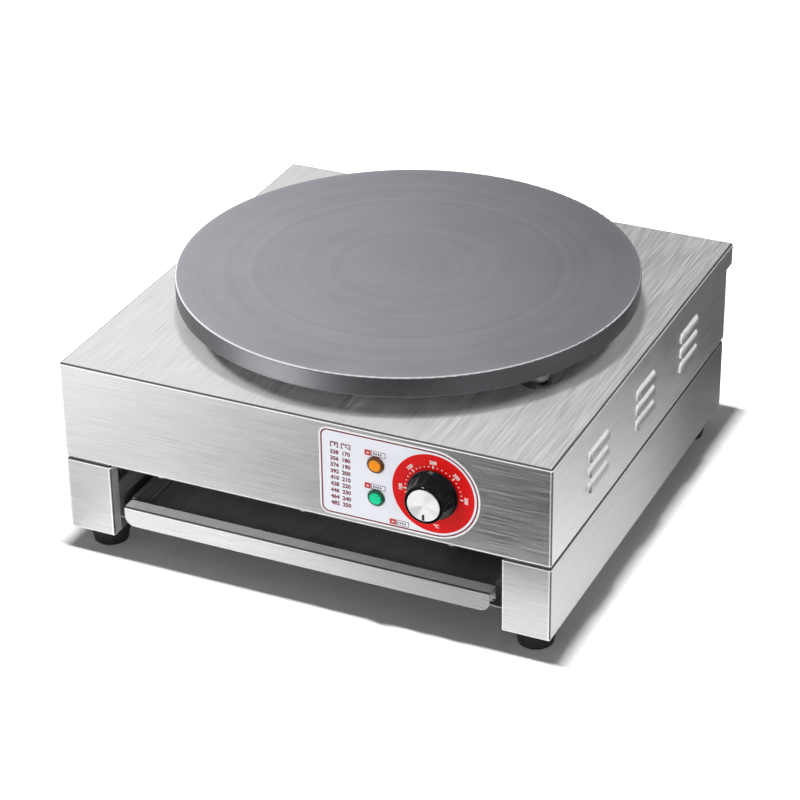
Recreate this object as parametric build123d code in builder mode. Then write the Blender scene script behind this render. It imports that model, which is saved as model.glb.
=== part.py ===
from build123d import *
import os
from math import asin, cos, radians, sin

# Electric crepe maker for a counter: a round cast griddle plate on three studs above a folded
# stainless housing, with a temperature knob on the front and a slide-out tray in the base below.
# Millimetres, +Z up, the front faces -Y, and the origin is the middle of the footprint at the
# height of the surface that the feet stand on.

os.makedirs("parts", exist_ok=True)

# ---- Driving dimensions -------------------------------------------------------------------

# The plate comes first: the housing is laid out round it
plate_diameter = 400.0
side_margin = 21.0  # plate's edge to a side wall
front_margin = 17.2  # plate's edge to the front face
rear_margin = 19.8  # plate's edge to the back of the rear lip

# Sheet-metal housing
box_height = 90.0  # upper box, its lower edge to the deck
base_height = 68.5  # leg frames, without the feet
sheet = 1.0  # upper box
base_sheet = 1.2  # leg frames and tray rails
floor_sheet = 1.5  # chassis floor, which is also the shadow gap between box and base
bend_radius = 2.0  # outside radius of every fold
rear_overhang = 16.0  # the deck reaches this far behind the rear panel
rear_lip = 20.0
flange = 14.0  # return flanges of the box and panels
floor_inset = 3.0
fit_gap = 0.3  # between sheets that stand side by side
hole_gap = 0.1  # added to a screw's radius for the holes it passes through
stud_hole_gap = 0.5  # added to a stud's radius where it passes the deck
thread_gap = 0.05  # added to a screw's radius where it is threaded in

# Louvres, pressed out of both side walls in groups
louvre_length = 44.0
louvre_height = 10.0
louvre_reach = 3.0
louvre_pitch = 14.3
louvre_rows = 3
louvre_groups = 3
louvre_group_pitch = 110.0
louvre_rise = 0.5  # middle of the rows above the middle of the box

# Slots pressed through the rear panel and the chassis floor for cooling air
vent_slots = 6
vent_pitch = 12.0
vent_width = 4.0
rear_vent_length = 30.0
floor_vent_length = 40.0
rear_vent_offset = 88.0  # to the right of the middle

# Drawer base
leg_width = 42.5
leg_return = 12.0
rail_height = 34.0
rail_ledge = 20.0
rail_notch = 8.0  # cut out at each end of a rail, below the part that is welded
foot_height = 20.0
foot_top_radius = 19.0
foot_bottom_radius = 14.8
foot_side_inset = 22.5
foot_end_inset = 27.0
foot_edge = 0.8
foot_recess_depth = 8.0
foot_recess_radius = 6.5

# Griddle plate
plate_thickness = 18.5
plate_gap = 15.5  # deck to the underside of the plate's rim
rim_width = 35.0
rim_round = 1.5
stud_inset = 21.0  # from the plate's edge
stud_angles = (-30.0, 90.0, 210.0)
stud_radius = 4.0
stud_engagement = 12.0
standoff_radius = 12.5

# Heating
element_diameter = 8.0
element_recess = 0.5  # the elements lie this deep inside the plate's pocket
element_rings = 3
ring_edge = 15.0  # pocket wall to the outer ring
inner_ring_radius = 60.0
lead_gap = 10.0  # half the gap between a ring's two cold ends
lead_bend = 12.0
lead_below_deck = 14.0
lead_clearance = 2.5  # round a cold end where it passes the deck
shield_clearance = 1.0  # round a cold end or the capillary where they pass the heat shield
clamp_width = 20.0
clamp_thickness = 3.0
clamp_corner = 4.0
clamp_past_ring = 20.0  # inside the inner ring
clamp_to_pocket = 5.0
clamp_angles = (0.0, 180.0, 225.0, 315.0)
boss_radius = 7.0
boss_overlap = 0.5  # a boss starts this far inside the plate it is cast with
thread_in_plate = 5.0  # thread in the plate above a boss
clamp_screw_radius = 3.0
shield_screw_radius = 2.5
shield_angles = (30.0, 150.0, 270.0)
insulation_thickness = 5.0
shield_sheet = 0.8
shield_gap = 2.0  # heat shield to the pocket wall
bulb_radius = 3.0
bulb_length = 60.0
bulb_offset = 20.0  # from the plate's centre, towards the front
bulb_end = 0.8  # rounding of the bulb's ends
clip_width = 14.0
clip_sheet = 1.0
clip_tab = 14.0
clip_screw_offset = 11.0  # from the bulb, towards the front
clip_screw_length = 6.0
capillary_radius = 1.0
capillary_lead = 14.0  # from the bulb's end to the capillary's way down
capillary_clearance = 3.0  # round the capillary where it passes the deck
capillary_gap = 4.0  # under the deck's stiffeners
capillary_bend = 8.0

# Controls
label_thickness = 0.5
label_length = 141.0
label_margin = 4.5  # above and below the label on the box's front
label_corner = 8.0
dial_from_right = 101.0  # knob axis to the right side wall
knob_skirt_radius = 22.0
knob_body_radius = 20.3
knob_front_radius = 16.5
knob_height = 18.7
knob_gap = 0.8  # knob to label
knob_flutes = 14
cap_radius = 14.0
cap_proud = 0.5
spindle_radius = 3.0
spindle_flat = 1.5  # from the spindle's axis to its flat
spindle_gap = 0.05
spindle_depth = 18.0  # behind the front sheet
spindle_in_knob = 12.0
bush_wall = 2.0
thermostat_width = 36.0
thermostat_depth = 26.0
thermostat_plate = 2.0
thermostat_lug = 8.0  # the mounting plate reaches this far past a screw
thermostat_screw_spacing = 28.0
thermostat_screw_bite = 6.0
lamp_from_dial = 50.0
lamp_spacing = 30.6
lens_radius = 7.5
lens_reach = 2.6
lamp_barrel_radius = 6.0
lamp_barrel_length = 24.0
lamp_pin = 5.0
lamp_pin_step = 1.5  # barrel's radius less the pin's
lamp_nut = (16.0, 3.0)  # across flats and height

# Electrical inlet, at the rear on the left
gland_from_left = 71.0
gland_height = 34.0
gland_thread_radius = 10.0
gland_reach = 22.0
cable_bore_radius = 5.5
gland_hex_flats = 24.0
gland_hex = 5.0  # thickness of the body's hexagon
gland_inner = 11.0  # thread inside the rear panel
gland_collet_radius = 8.5
gland_collet_short = 6.0  # the collet ends this far inside the nut's mouth
gland_nut_round = 2.5
gland_locknut_size = (26.0, 4.5)  # across flats and height
block_from_rear = 75.0
block_length = 46.0
block_depth = 22.0
block_height = 20.0
block_corner = 2.0
block_ports = 5
port_pitch = 8.0
port_radius = 2.0
port_depth = 8.0
port_height = 7.0
earth_from_gland = 46.0
earth_from_rear = 62.0
earth_radius = 2.5
earth_height = 16.0
wire_radius = 1.4
wire_bend = 10.0
wire_end_gap = 1.0  # the wire's end to the bottom of its port

# Tray
tray_side_gap = 9.0  # tray rim to a leg frame
tray_height = 17.0
tray_sheet = 0.8
tray_rim = 3.0
tray_drop = 38.5  # tray rim below the upper box
tray_end_gap = 4.0
handle_inset = 1.5  # each end of the handle, from the tray rim's end
handle_depth = 13.0
handle_height = 17.5
handle_corner = 9.0
handle_setback = 1.5
handle_leg = 12.0  # the handle's leg on the tray's front
tray_corner = 3.0
rivet_radius = 1.6
rivet_head = (3.2, 1.2)  # radius and height in front
rivet_tail = (2.6, 1.0)  # radius and height inside the tray
rivets = 4
rivet_drop = 7.0  # below the tray's rim
slide_gap = 0.3  # tray floor to the rail ledges

# ---- Levels and planes that follow from them -----------------------------------------------

base_top = foot_height + base_height
seam_z = base_top + floor_sheet
deck_z = seam_z + box_height
plate_bottom = deck_z + plate_gap
pocket_depth = element_diameter + element_recess
plate_top = plate_bottom + plate_thickness
pocket_top = plate_bottom + pocket_depth
element_z = pocket_top - element_diameter / 2
clamp_top = pocket_top - element_diameter
deck_underside = deck_z - sheet
lip_z = deck_z - rear_lip
dial_z = seam_z + box_height / 2
tray_rim_z = seam_z - tray_drop
tray_bottom = tray_rim_z - tray_height
ledge_top = tray_bottom - slide_gap

plate_radius = plate_diameter / 2
housing_width = plate_diameter + 2 * side_margin
housing_depth = plate_diameter + front_margin + rear_margin
knob_reach = label_thickness + knob_gap + knob_height + cap_proud
rear_reach = max(gland_reach - rear_overhang, 0.0)
overall_depth = knob_reach + housing_depth + rear_reach
front_y = -overall_depth / 2 + knob_reach
back_y = front_y + housing_depth
body_back = back_y - rear_overhang
half_width = housing_width / 2
leg_inner_x = half_width - leg_width
plate_y = front_y + front_margin + plate_radius
dial_x = half_width - dial_from_right
gland_x = -half_width + gland_from_left
gland_z = seam_z + gland_height

pocket_radius = plate_radius - rim_width
stud_circle = plate_radius - stud_inset
stud_places = [
    (stud_circle * cos(radians(angle)), plate_y + stud_circle * sin(radians(angle)))
    for angle in stud_angles
]
outer_ring_radius = pocket_radius - ring_edge
ring_pitch = (outer_ring_radius - inner_ring_radius) / (element_rings - 1)
ring_radii = [outer_ring_radius - ring_pitch * n for n in range(element_rings)]
boss_radii = [(a + b) / 2 for a, b in zip(ring_radii, ring_radii[1:])]


def lead_place(ring, side):
    """Where a ring's cold end goes down: past the ring's end by one bend, along its tangent."""
    turn = asin((lead_gap + lead_bend) / ring)
    x = ring * sin(turn) - lead_bend * cos(turn)
    y = ring * cos(turn) + lead_bend * sin(turn)
    return side * x, plate_y + y


lead_places = [lead_place(ring, side) for ring in ring_radii for side in (-1, 1)]
capillary_x = bulb_length / 2 + capillary_lead
bulb_y = plate_y - bulb_offset
housing_mid_y = (front_y + body_back) / 2
frame_depth = body_back - front_y
bush_radius = spindle_radius + bush_wall
thermostat_screw_x = [dial_x + side * thermostat_screw_spacing / 2 for side in (-1, 1)]
lamp_x = dial_x - lamp_from_dial
lamp_places = {
    "amber": (lamp_x, dial_z + lamp_spacing / 2),
    "green": (lamp_x, dial_z - lamp_spacing / 2),
}
nearly = 0.01  # for picking edges and faces by their place


def write(piece, name):
    """Labels a finished piece and writes it as its own STEP file."""
    piece.part.label = name
    export_step(piece.part, f"parts/{name}.step")


# ---- Fasteners used in several places ------------------------------------------------------


def pan_screw(radius, length, head_radius, head_height):
    """A cross-recessed screw: its head stands on z = 0 and its shank goes down."""
    with BuildPart() as screw:
        Cylinder(radius, length, align=(Align.CENTER, Align.CENTER, Align.MAX))
        Cylinder(head_radius, head_height, align=(Align.CENTER, Align.CENTER, Align.MIN))
        fillet(screw.edges().group_by(Axis.Z)[-1], head_height * 0.45)
        with BuildSketch(Plane.XY.offset(head_height)):
            Rectangle(head_radius, head_radius * 0.25)
            Rectangle(head_radius * 0.25, head_radius)
        extrude(amount=-head_height * 0.5, mode=Mode.SUBTRACT)
    return screw.part


def hex_nut(radius, across_flats, height):
    """A plain hexagon nut on z = 0, bored to its thread's radius."""
    with BuildPart() as nut:
        with BuildSketch():
            RegularPolygon(across_flats / 2, 6, major_radius=False)
            Circle(radius + thread_gap, mode=Mode.SUBTRACT)
        extrude(amount=height)
    return nut.part


screw_m4_radius = 2.0
screw_m5_radius = 2.5
head_m4 = (3.8, 2.2)  # head radius and height
head_m5 = (4.5, 2.8)
low_head_m5 = (4.5, 2.4)
low_head_m4 = (3.6, 2.0)
grub_head_m4 = (3.2, 1.6)
head_m6 = (5.5, 3.0)
nut_m4 = (7.0, 3.2)  # across flats and height
nut_m5 = (8.0, 4.0)
nut_m8 = (13.0, 6.5)
washer_m8 = (8.0, 1.6)  # outer radius and thickness
screw_past_nut = 1.5
screw_past_sheet = 4.0

head_up = (0, 0, 0)
head_down = (180, 0, 0)
head_front = (90, 0, 0)
head_back = (-90, 0, 0)

# Where the box, floor and base are screwed together
leg_bolt_inset = 60.0
rear_screw_low, rear_screw_high = 18.0, 12.0  # above the seam and below the rear lip
skirt_screw_inset = 8.0  # below the top of the base
flange_mid = flange / 2 + 1.0
cross_screw_x = [-housing_width * 0.3, 0.0, housing_width * 0.3]
front_screws = [(x, front_y + flange_mid) for x in cross_screw_x]
rear_floor_screws = [(x, body_back - flange_mid) for x in cross_screw_x]
leg_bolt_x = half_width - flange_mid
leg_bolt_y = [front_y + leg_bolt_inset, housing_mid_y, body_back - leg_bolt_inset]
leg_bolt_places = [(side * leg_bolt_x, y) for side in (-1, 1) for y in leg_bolt_y]
rear_screw_x = half_width - sheet - flange / 2
rear_screw_z = [seam_z + rear_screw_low, lip_z - rear_screw_high]
rear_screw_places = [(side * rear_screw_x, z) for side in (-1, 1) for z in rear_screw_z]
skirt_screw_y = body_back - leg_return / 2
skirt_low_z = (foot_height + bend_radius + ledge_top - base_sheet) / 2  # between fold and rail
skirt_screw_places = [(skirt_screw_y, z) for z in (skirt_low_z, base_top - skirt_screw_inset)]
foot_places = [
    (side * (half_width - foot_side_inset), y)
    for side in (-1, 1)
    for y in (front_y + foot_end_inset, body_back - foot_end_inset)
]

# ---- Upper housing: folded shell with a deck, front, sides and a boxed rear lip -----------


lip_return = 4.0  # the rear lip's lower flange reaches this far in over the rear panel


def housing_form(profile, half, radius):
    """A closed Y-Z profile carried across the housing and rounded at every fold but the rear's."""
    rear = max(y for y, z in profile if z < lip_z)
    with BuildPart() as form:
        with BuildSketch(Plane.YZ.offset(-half)):
            with BuildLine():
                Polyline(*profile, close=True)
            make_face()
        extrude(amount=2 * half)
        folds = form.edges().filter_by(lambda e: e.center().Y < rear - lip_return - nearly)
        folds += form.edges().filter_by(lambda e: e.center().Y > rear + nearly)
        lip_ends = folds.filter_by(Axis.Y).filter_by(lambda e: e.length < 2 * rear_overhang)
        fillet([edge for edge in folds if edge not in lip_ends], radius)
    return form.part


outer_profile = [
    (front_y, seam_z),
    (front_y, deck_z),
    (back_y, deck_z),
    (back_y, lip_z),
    (body_back, lip_z),
    (body_back, seam_z),
]
inner_profile = [
    (front_y + sheet, seam_z + sheet),
    (front_y + sheet, deck_z - sheet),
    (back_y - sheet, deck_z - sheet),
    (back_y - sheet, lip_z + sheet),
    (body_back - lip_return, lip_z + sheet),
    (body_back - lip_return, lip_z),
    (body_back, lip_z),
    (body_back, seam_z + sheet),
]


def louvre_form(reach, height, length):
    """Half a pressed louvre's dome: a curved hood along Y whose two ends are turned round."""
    straight = length / 2 - reach
    with BuildPart() as hood:
        with BuildSketch(Plane.XZ.offset(-straight)) as section:
            with BuildLine():
                lip = Line((0, 0), (reach, 0))
                crown = TangentArc((reach, 0), (0, height), tangent=(0, 1))
                Line(crown @ 1, lip @ 0)
            make_face()
        extrude(amount=2 * straight)
        for end in (-straight, straight):
            with BuildSketch(Plane.XZ.offset(-end)):
                add(section.sketch_local)
            revolve(axis=Axis((0, end, 0), (0, 0, 1)), revolution_arc=360)
        Box(2 * reach, 2 * length, 4 * height, align=(Align.MAX, Align.CENTER, Align.CENTER),
            mode=Mode.SUBTRACT)
    return hood.part


louvre_skin = louvre_form(louvre_reach, louvre_height, louvre_length)
louvre_void = louvre_form(louvre_reach - sheet, louvre_height - sheet, louvre_length - 2 * sheet)
louvre_rows_height = louvre_pitch * (louvre_rows - 1) + louvre_height
louvre_low_z = seam_z + box_height / 2 + louvre_rise - louvre_rows_height / 2
louvre_places = [
    (housing_mid_y + louvre_group_pitch * (group - (louvre_groups - 1) / 2),
     louvre_low_z + louvre_pitch * row)
    for group in range(louvre_groups)
    for row in range(louvre_rows)
]

with BuildPart() as upper_housing:
    add(housing_form(outer_profile, half_width, bend_radius))
    add(housing_form(inner_profile, half_width - sheet, bend_radius - sheet), mode=Mode.SUBTRACT)
    # The underside is open inside its return flanges, and across the rear panel's own flange
    with BuildSketch(Plane.XY.offset(seam_z)):
        with Locations((0, front_y + flange)):
            Rectangle(housing_width - 2 * flange, housing_depth, align=(Align.CENTER, Align.MIN))
    extrude(amount=sheet, mode=Mode.SUBTRACT)
    with BuildSketch(Plane.XY.offset(seam_z)):
        with Locations((0, body_back - flange - fit_gap)):
            Rectangle(housing_width - 2 * sheet, housing_depth, align=(Align.CENTER, Align.MIN))
    extrude(amount=bend_radius, mode=Mode.SUBTRACT)
    # Upright tabs that the rear panel is screwed to
    for side in (-1, 1):
        tab_height = box_height - rear_lip - sheet - fit_gap
        with Locations((side * (half_width - sheet), body_back - sheet, seam_z + sheet + fit_gap)):
            Box(flange, sheet, tab_height,
                align=(Align.MAX if side > 0 else Align.MIN, Align.MAX, Align.MIN))
    with Locations(*[(x, body_back - 1.5 * sheet, z) for x, z in rear_screw_places]):
        Cylinder(screw_m4_radius + thread_gap, 3 * sheet, rotation=head_back, mode=Mode.SUBTRACT)
    # Louvres: the hood outside each wall, then the slot behind it
    for side in (-1, 1):
        turn = 0 if side > 0 else 180
        hoods = [Location((side * half_width, y, z), (0, 0, turn)) for y, z in louvre_places]
        with Locations(*hoods):
            add(louvre_skin)
        with Locations(*hoods):
            add(louvre_void, mode=Mode.SUBTRACT)
            Box(2.5 * sheet, louvre_length - 2 * louvre_reach, louvre_height - 2 * sheet,
                align=(Align.MAX, Align.CENTER, Align.MIN), mode=Mode.SUBTRACT)
    # Deck: studs, the elements' cold ends and the capillary pass through
    with BuildSketch(Plane.XY.offset(deck_z)):
        with Locations(*stud_places):
            Circle(stud_radius + stud_hole_gap)
        with Locations(*lead_places):
            Circle(element_diameter / 2 + lead_clearance)
        with Locations((capillary_x, bulb_y)):
            Circle(capillary_radius + capillary_clearance)
    extrude(amount=-2 * sheet, mode=Mode.SUBTRACT)
    # Front: thermostat bush and screws, and the two lamps
    with BuildSketch(Plane.XZ.offset(-front_y)):
        with Locations((dial_x, dial_z)):
            Circle(bush_radius + 2 * hole_gap)
        with Locations(*[(x, dial_z) for x in thermostat_screw_x]):
            Circle(screw_m4_radius + hole_gap)
        with Locations(*lamp_places.values()):
            Circle(lamp_barrel_radius + hole_gap)
    extrude(amount=-2 * sheet, mode=Mode.SUBTRACT)
    # Bottom flanges: floor screws in front, leg bolts at the sides
    with BuildSketch(Plane.XY.offset(seam_z)):
        with Locations(*front_screws):
            Circle(screw_m4_radius + thread_gap)
        with Locations(*leg_bolt_places):
            Circle(screw_m5_radius + hole_gap)
    extrude(amount=2 * sheet, mode=Mode.SUBTRACT)
write(upper_housing, "upper_housing")

# ---- Rear panel: flat sheet with a flange folded forward along its lower edge -------------

rear_panel_width = housing_width - 2 * sheet - 2 * fit_gap
rear_panel_top = lip_z - fit_gap

with BuildPart() as rear_panel:
    with BuildSketch(Plane.YZ.offset(-rear_panel_width / 2)):
        with BuildLine():
            Polyline(
                (body_back, seam_z),
                (body_back, rear_panel_top),
                (body_back - sheet, rear_panel_top),
                (body_back - sheet, seam_z + sheet),
                (body_back - flange, seam_z + sheet),
                (body_back - flange, seam_z),
                close=True,
            )
        make_face()
    extrude(amount=rear_panel_width)
    fold = rear_panel.edges().filter_by(Axis.X).filter_by(
        lambda e: e.center().Y > body_back - nearly and e.center().Z < seam_z + nearly)
    fillet(fold, bend_radius)
    with BuildSketch(Plane.XZ.offset(-body_back)):
        with Locations(*rear_screw_places):
            Circle(screw_m4_radius + hole_gap)
        with Locations((gland_x, gland_z)):
            Circle(gland_thread_radius + 2 * hole_gap)
        with Locations((rear_vent_offset, (seam_z + rear_panel_top) / 2)):
            with GridLocations(vent_pitch, 0, vent_slots, 1):
                SlotOverall(rear_vent_length, vent_width, rotation=90)
    extrude(amount=-2 * sheet, both=True, mode=Mode.SUBTRACT)
    with BuildSketch(Plane.XY.offset(seam_z)):
        with Locations(*rear_floor_screws):
            Circle(screw_m4_radius + thread_gap)
    extrude(amount=1.5 * sheet, mode=Mode.SUBTRACT)
write(rear_panel, "rear_panel")

# ---- Chassis floor: flat plate between the box and the base -------------------------------

floor_front = front_y + floor_inset
floor_back = body_back - floor_inset
block_y = body_back - block_from_rear
earth_place = (gland_x + earth_from_gland, body_back - earth_from_rear)

with BuildPart() as chassis_floor:
    with BuildSketch(Plane.XY.offset(base_top)):
        with Locations((0, floor_front)):
            Rectangle(housing_width - 2 * floor_inset, floor_back - floor_front,
                      align=(Align.CENTER, Align.MIN))
        with Locations(*front_screws, *rear_floor_screws):
            Circle(screw_m4_radius + hole_gap, mode=Mode.SUBTRACT)
        with Locations(*leg_bolt_places):
            Circle(screw_m5_radius + hole_gap, mode=Mode.SUBTRACT)
        with Locations(earth_place):
            Circle(earth_radius + thread_gap, mode=Mode.SUBTRACT)
        with Locations((0, plate_y)):
            with GridLocations(vent_pitch, 0, 2 * vent_slots, 1):
                SlotOverall(floor_vent_length, vent_width, rotation=90, mode=Mode.SUBTRACT)
    extrude(amount=floor_sheet)
write(chassis_floor, "chassis_floor")

# ---- Leg frames: folded channels, open towards the tray between two returns ---------------


def leg_block(side, inset, radius):
    """A leg frame's outer form or, moved in by inset, its hollow."""
    with BuildPart() as block:
        with Locations((side * (half_width - leg_width / 2), housing_mid_y,
                        foot_height + base_height / 2)):
            Box(leg_width - 2 * inset, frame_depth - 2 * inset, base_height - 2 * inset)
        fillet(block.edges(), radius)
    return block.part


def leg_frame(side):
    """One leg frame: a hollow block whose inner side is open between its returns."""
    with BuildPart() as frame:
        add(leg_block(side, 0.0, bend_radius))
        add(leg_block(side, base_sheet, bend_radius - base_sheet), mode=Mode.SUBTRACT)
        with Locations((side * leg_inner_x, housing_mid_y, foot_height + base_height / 2)):
            Box(4 * base_sheet, frame_depth - 2 * leg_return, base_height - 2 * base_sheet,
                mode=Mode.SUBTRACT)
        with BuildSketch(Plane.XY.offset(base_top)):
            with Locations(*leg_bolt_places):
                Circle(screw_m5_radius + hole_gap)
        extrude(amount=-2 * base_sheet, mode=Mode.SUBTRACT)
        with BuildSketch(Plane.XY.offset(foot_height)):
            with Locations(*foot_places):
                Circle(screw_m5_radius + hole_gap)
        extrude(amount=2 * base_sheet, mode=Mode.SUBTRACT)
        with Locations(*[(side * leg_inner_x, y, z) for y, z in skirt_screw_places]):
            Cylinder(screw_m4_radius + thread_gap, 4 * base_sheet, rotation=(0, 90, 0),
                     mode=Mode.SUBTRACT)
    return frame


left_leg_frame = leg_frame(-1)
write(left_leg_frame, "left_leg_frame")
right_leg_frame = leg_frame(1)
write(right_leg_frame, "right_leg_frame")

# ---- Tray rails: angles spot-welded to the outer sides of the returns ---------------------


def tray_rail(side):
    """One rail: an upright web that reaches behind the returns above a notch at each end, and a
    ledge between the returns that reaches under the tray."""
    web_x = side * (leg_inner_x + base_sheet)
    rail_bottom = ledge_top - base_sheet
    outward = Align.MIN if side > 0 else Align.MAX
    inward = Align.MAX if side > 0 else Align.MIN
    web_length = frame_depth - 2 * (base_sheet + bend_radius)
    ledge_length = frame_depth - 2 * leg_return - 2 * fit_gap
    with BuildPart() as rail:
        with Locations((web_x, housing_mid_y, rail_bottom)):
            Box(base_sheet, ledge_length, rail_height, align=(outward, Align.CENTER, Align.MIN))
            Box(rail_ledge, ledge_length, base_sheet, align=(inward, Align.CENTER, Align.MIN))
        with Locations((web_x, housing_mid_y, rail_bottom + rail_notch)):
            Box(base_sheet, web_length, rail_height - rail_notch,
                align=(outward, Align.CENTER, Align.MIN))
    return rail


left_tray_rail = tray_rail(-1)
write(left_tray_rail, "left_tray_rail")
right_tray_rail = tray_rail(1)
write(right_tray_rail, "right_tray_rail")

# ---- Rear skirt: closes the base behind the tray ------------------------------------------

skirt_width = 2 * leg_inner_x - 2 * fit_gap

with BuildPart() as rear_skirt:
    with BuildSketch(Plane.XY.offset(foot_height + fit_gap)):
        with Locations((0, body_back)):
            Rectangle(skirt_width, leg_return, align=(Align.CENTER, Align.MAX))
        with Locations((0, body_back - base_sheet)):
            Rectangle(skirt_width - 2 * base_sheet, leg_return, align=(Align.CENTER, Align.MAX),
                      mode=Mode.SUBTRACT)
    extrude(amount=base_height - 2 * fit_gap)
    fillet(rear_skirt.edges().filter_by(Axis.Z).group_by(Axis.Y)[-1], bend_radius)
    with Locations(*[(0, y, z) for y, z in skirt_screw_places]):
        Cylinder(screw_m4_radius + hole_gap, 2 * skirt_width, rotation=(0, 90, 0),
                 mode=Mode.SUBTRACT)
write(rear_skirt, "rear_skirt")

# ---- Rubber feet with their screws and nuts -----------------------------------------------

with BuildPart() as foot_form:
    Cone(foot_bottom_radius, foot_top_radius, foot_height,
         align=(Align.CENTER, Align.CENTER, Align.MIN))
    fillet(foot_form.edges().group_by(Axis.Z)[0], foot_edge)
    Cylinder(foot_recess_radius, foot_recess_depth, align=(Align.CENTER, Align.CENTER, Align.MIN),
             mode=Mode.SUBTRACT)
    Cylinder(screw_m5_radius + hole_gap, 3 * foot_height, mode=Mode.SUBTRACT)

with BuildPart() as rubber_feet:
    with Locations(*foot_places):
        add(foot_form.part)
write(rubber_feet, "rubber_feet")

foot_screw_length = foot_height - foot_recess_depth + base_sheet + nut_m5[1] + screw_past_nut
foot_screw = pan_screw(screw_m5_radius, foot_screw_length, *head_m5)
with BuildPart() as foot_screws:
    with Locations(*[Location((x, y, foot_recess_depth), head_down) for x, y in foot_places]):
        add(foot_screw)
write(foot_screws, "foot_screws")

m5_nut = hex_nut(screw_m5_radius, *nut_m5)
with BuildPart() as foot_nuts:
    with Locations(*[(x, y, foot_height + base_sheet) for x, y in foot_places]):
        add(m5_nut)
write(foot_nuts, "foot_nuts")

# ---- Deck stiffeners: two channels under the deck that carry the plate's studs ------------

stiffener_width = 26.0
stiffener_height = 12.0
stiffener_sheet = 2.0
stiffener_end_gap = 12.0
stiffener_length = housing_width - 2 * sheet - 2 * stiffener_end_gap

with BuildPart() as deck_stiffeners:
    for y in sorted({round(place[1], 3) for place in stud_places}):
        with Locations((0, y, deck_underside)):
            Box(stiffener_length, stiffener_width, stiffener_height,
                align=(Align.CENTER, Align.CENTER, Align.MAX))
        with Locations((0, y, deck_underside - stiffener_sheet)):
            Box(stiffener_length, stiffener_width - 2 * stiffener_sheet, stiffener_height,
                align=(Align.CENTER, Align.CENTER, Align.MAX), mode=Mode.SUBTRACT)
    with Locations(*[(x, y, deck_underside) for x, y in stud_places]):
        Cylinder(stud_radius + stud_hole_gap, 3 * stiffener_sheet, mode=Mode.SUBTRACT)
write(deck_stiffeners, "deck_stiffeners")

# ---- Griddle plate: cast disc with a wide rim, a pocket for the elements, and bosses ------

clamp_places = [
    (boss * cos(radians(angle)), plate_y + boss * sin(radians(angle)))
    for angle in clamp_angles
    for boss in boss_radii
]
shield_boss = boss_radii[0]
shield_places = [
    (shield_boss * cos(radians(angle)), plate_y + shield_boss * sin(radians(angle)))
    for angle in shield_angles
]
boss_thread_depth = element_diameter + thread_in_plate
clip_screw_place = (0.0, bulb_y - clip_screw_offset)

with BuildPart() as griddle_plate:
    with Locations((0, plate_y, plate_bottom)):
        Cylinder(plate_radius, plate_thickness, align=(Align.CENTER, Align.CENTER, Align.MIN))
    fillet(griddle_plate.edges().filter_by(GeomType.CIRCLE), rim_round)
    with Locations((0, plate_y, plate_bottom)):
        Cylinder(pocket_radius, pocket_depth, align=(Align.CENTER, Align.CENTER, Align.MIN),
                 mode=Mode.SUBTRACT)
    with BuildSketch(Plane.XY.offset(clamp_top)):
        with Locations(*clamp_places, *shield_places):
            Circle(boss_radius)
    extrude(amount=element_diameter + boss_overlap)
    with BuildSketch(Plane.XY.offset(clamp_top)):
        with Locations(*clamp_places):
            Circle(clamp_screw_radius + thread_gap)
        with Locations(*shield_places):
            Circle(shield_screw_radius + thread_gap)
    extrude(amount=boss_thread_depth, mode=Mode.SUBTRACT)
    with BuildSketch(Plane.XY.offset(plate_bottom)):
        with Locations(*stud_places):
            Circle(stud_radius + thread_gap)
    extrude(amount=stud_engagement + fit_gap, mode=Mode.SUBTRACT)
    with BuildSketch(Plane.XY.offset(pocket_top)):
        with Locations(clip_screw_place):
            Circle(screw_m4_radius + thread_gap)
    extrude(amount=clip_screw_length, mode=Mode.SUBTRACT)
write(griddle_plate, "griddle_plate")

# ---- Studs, standoffs, washers and nuts that hold the plate above the deck ----------------

with BuildPart() as plate_standoffs:
    with BuildSketch(Plane.XY.offset(deck_z)):
        with Locations(*stud_places):
            Circle(standoff_radius)
            Circle(stud_radius + 2 * hole_gap, mode=Mode.SUBTRACT)
    extrude(amount=plate_gap)
write(plate_standoffs, "plate_standoffs")

washer_top = deck_underside - stiffener_sheet
nut_top = washer_top - washer_m8[1]
stud_past_nut = 3.0
stud_end_chamfer = 0.6
stud_bottom = nut_top - nut_m8[1] - stud_past_nut

with BuildPart() as plate_studs:
    with BuildSketch(Plane.XY.offset(stud_bottom)):
        with Locations(*stud_places):
            Circle(stud_radius)
    extrude(amount=plate_bottom + stud_engagement - stud_bottom)
    chamfer(plate_studs.edges().filter_by(GeomType.CIRCLE), stud_end_chamfer)
write(plate_studs, "plate_studs")

with BuildPart() as stud_washers:
    with BuildSketch(Plane.XY.offset(washer_top)):
        with Locations(*stud_places):
            Circle(washer_m8[0])
            Circle(stud_radius + 2 * hole_gap, mode=Mode.SUBTRACT)
    extrude(amount=-washer_m8[1])
write(stud_washers, "stud_washers")

m8_nut = hex_nut(stud_radius, *nut_m8)
with BuildPart() as stud_nuts:
    with Locations(*[(x, y, nut_top - nut_m8[1]) for x, y in stud_places]):
        add(m8_nut)
write(stud_nuts, "stud_nuts")

# ---- Heating elements: three tubular rings whose cold ends bend down through the deck -----

lead_bottom = deck_z - lead_below_deck


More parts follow.
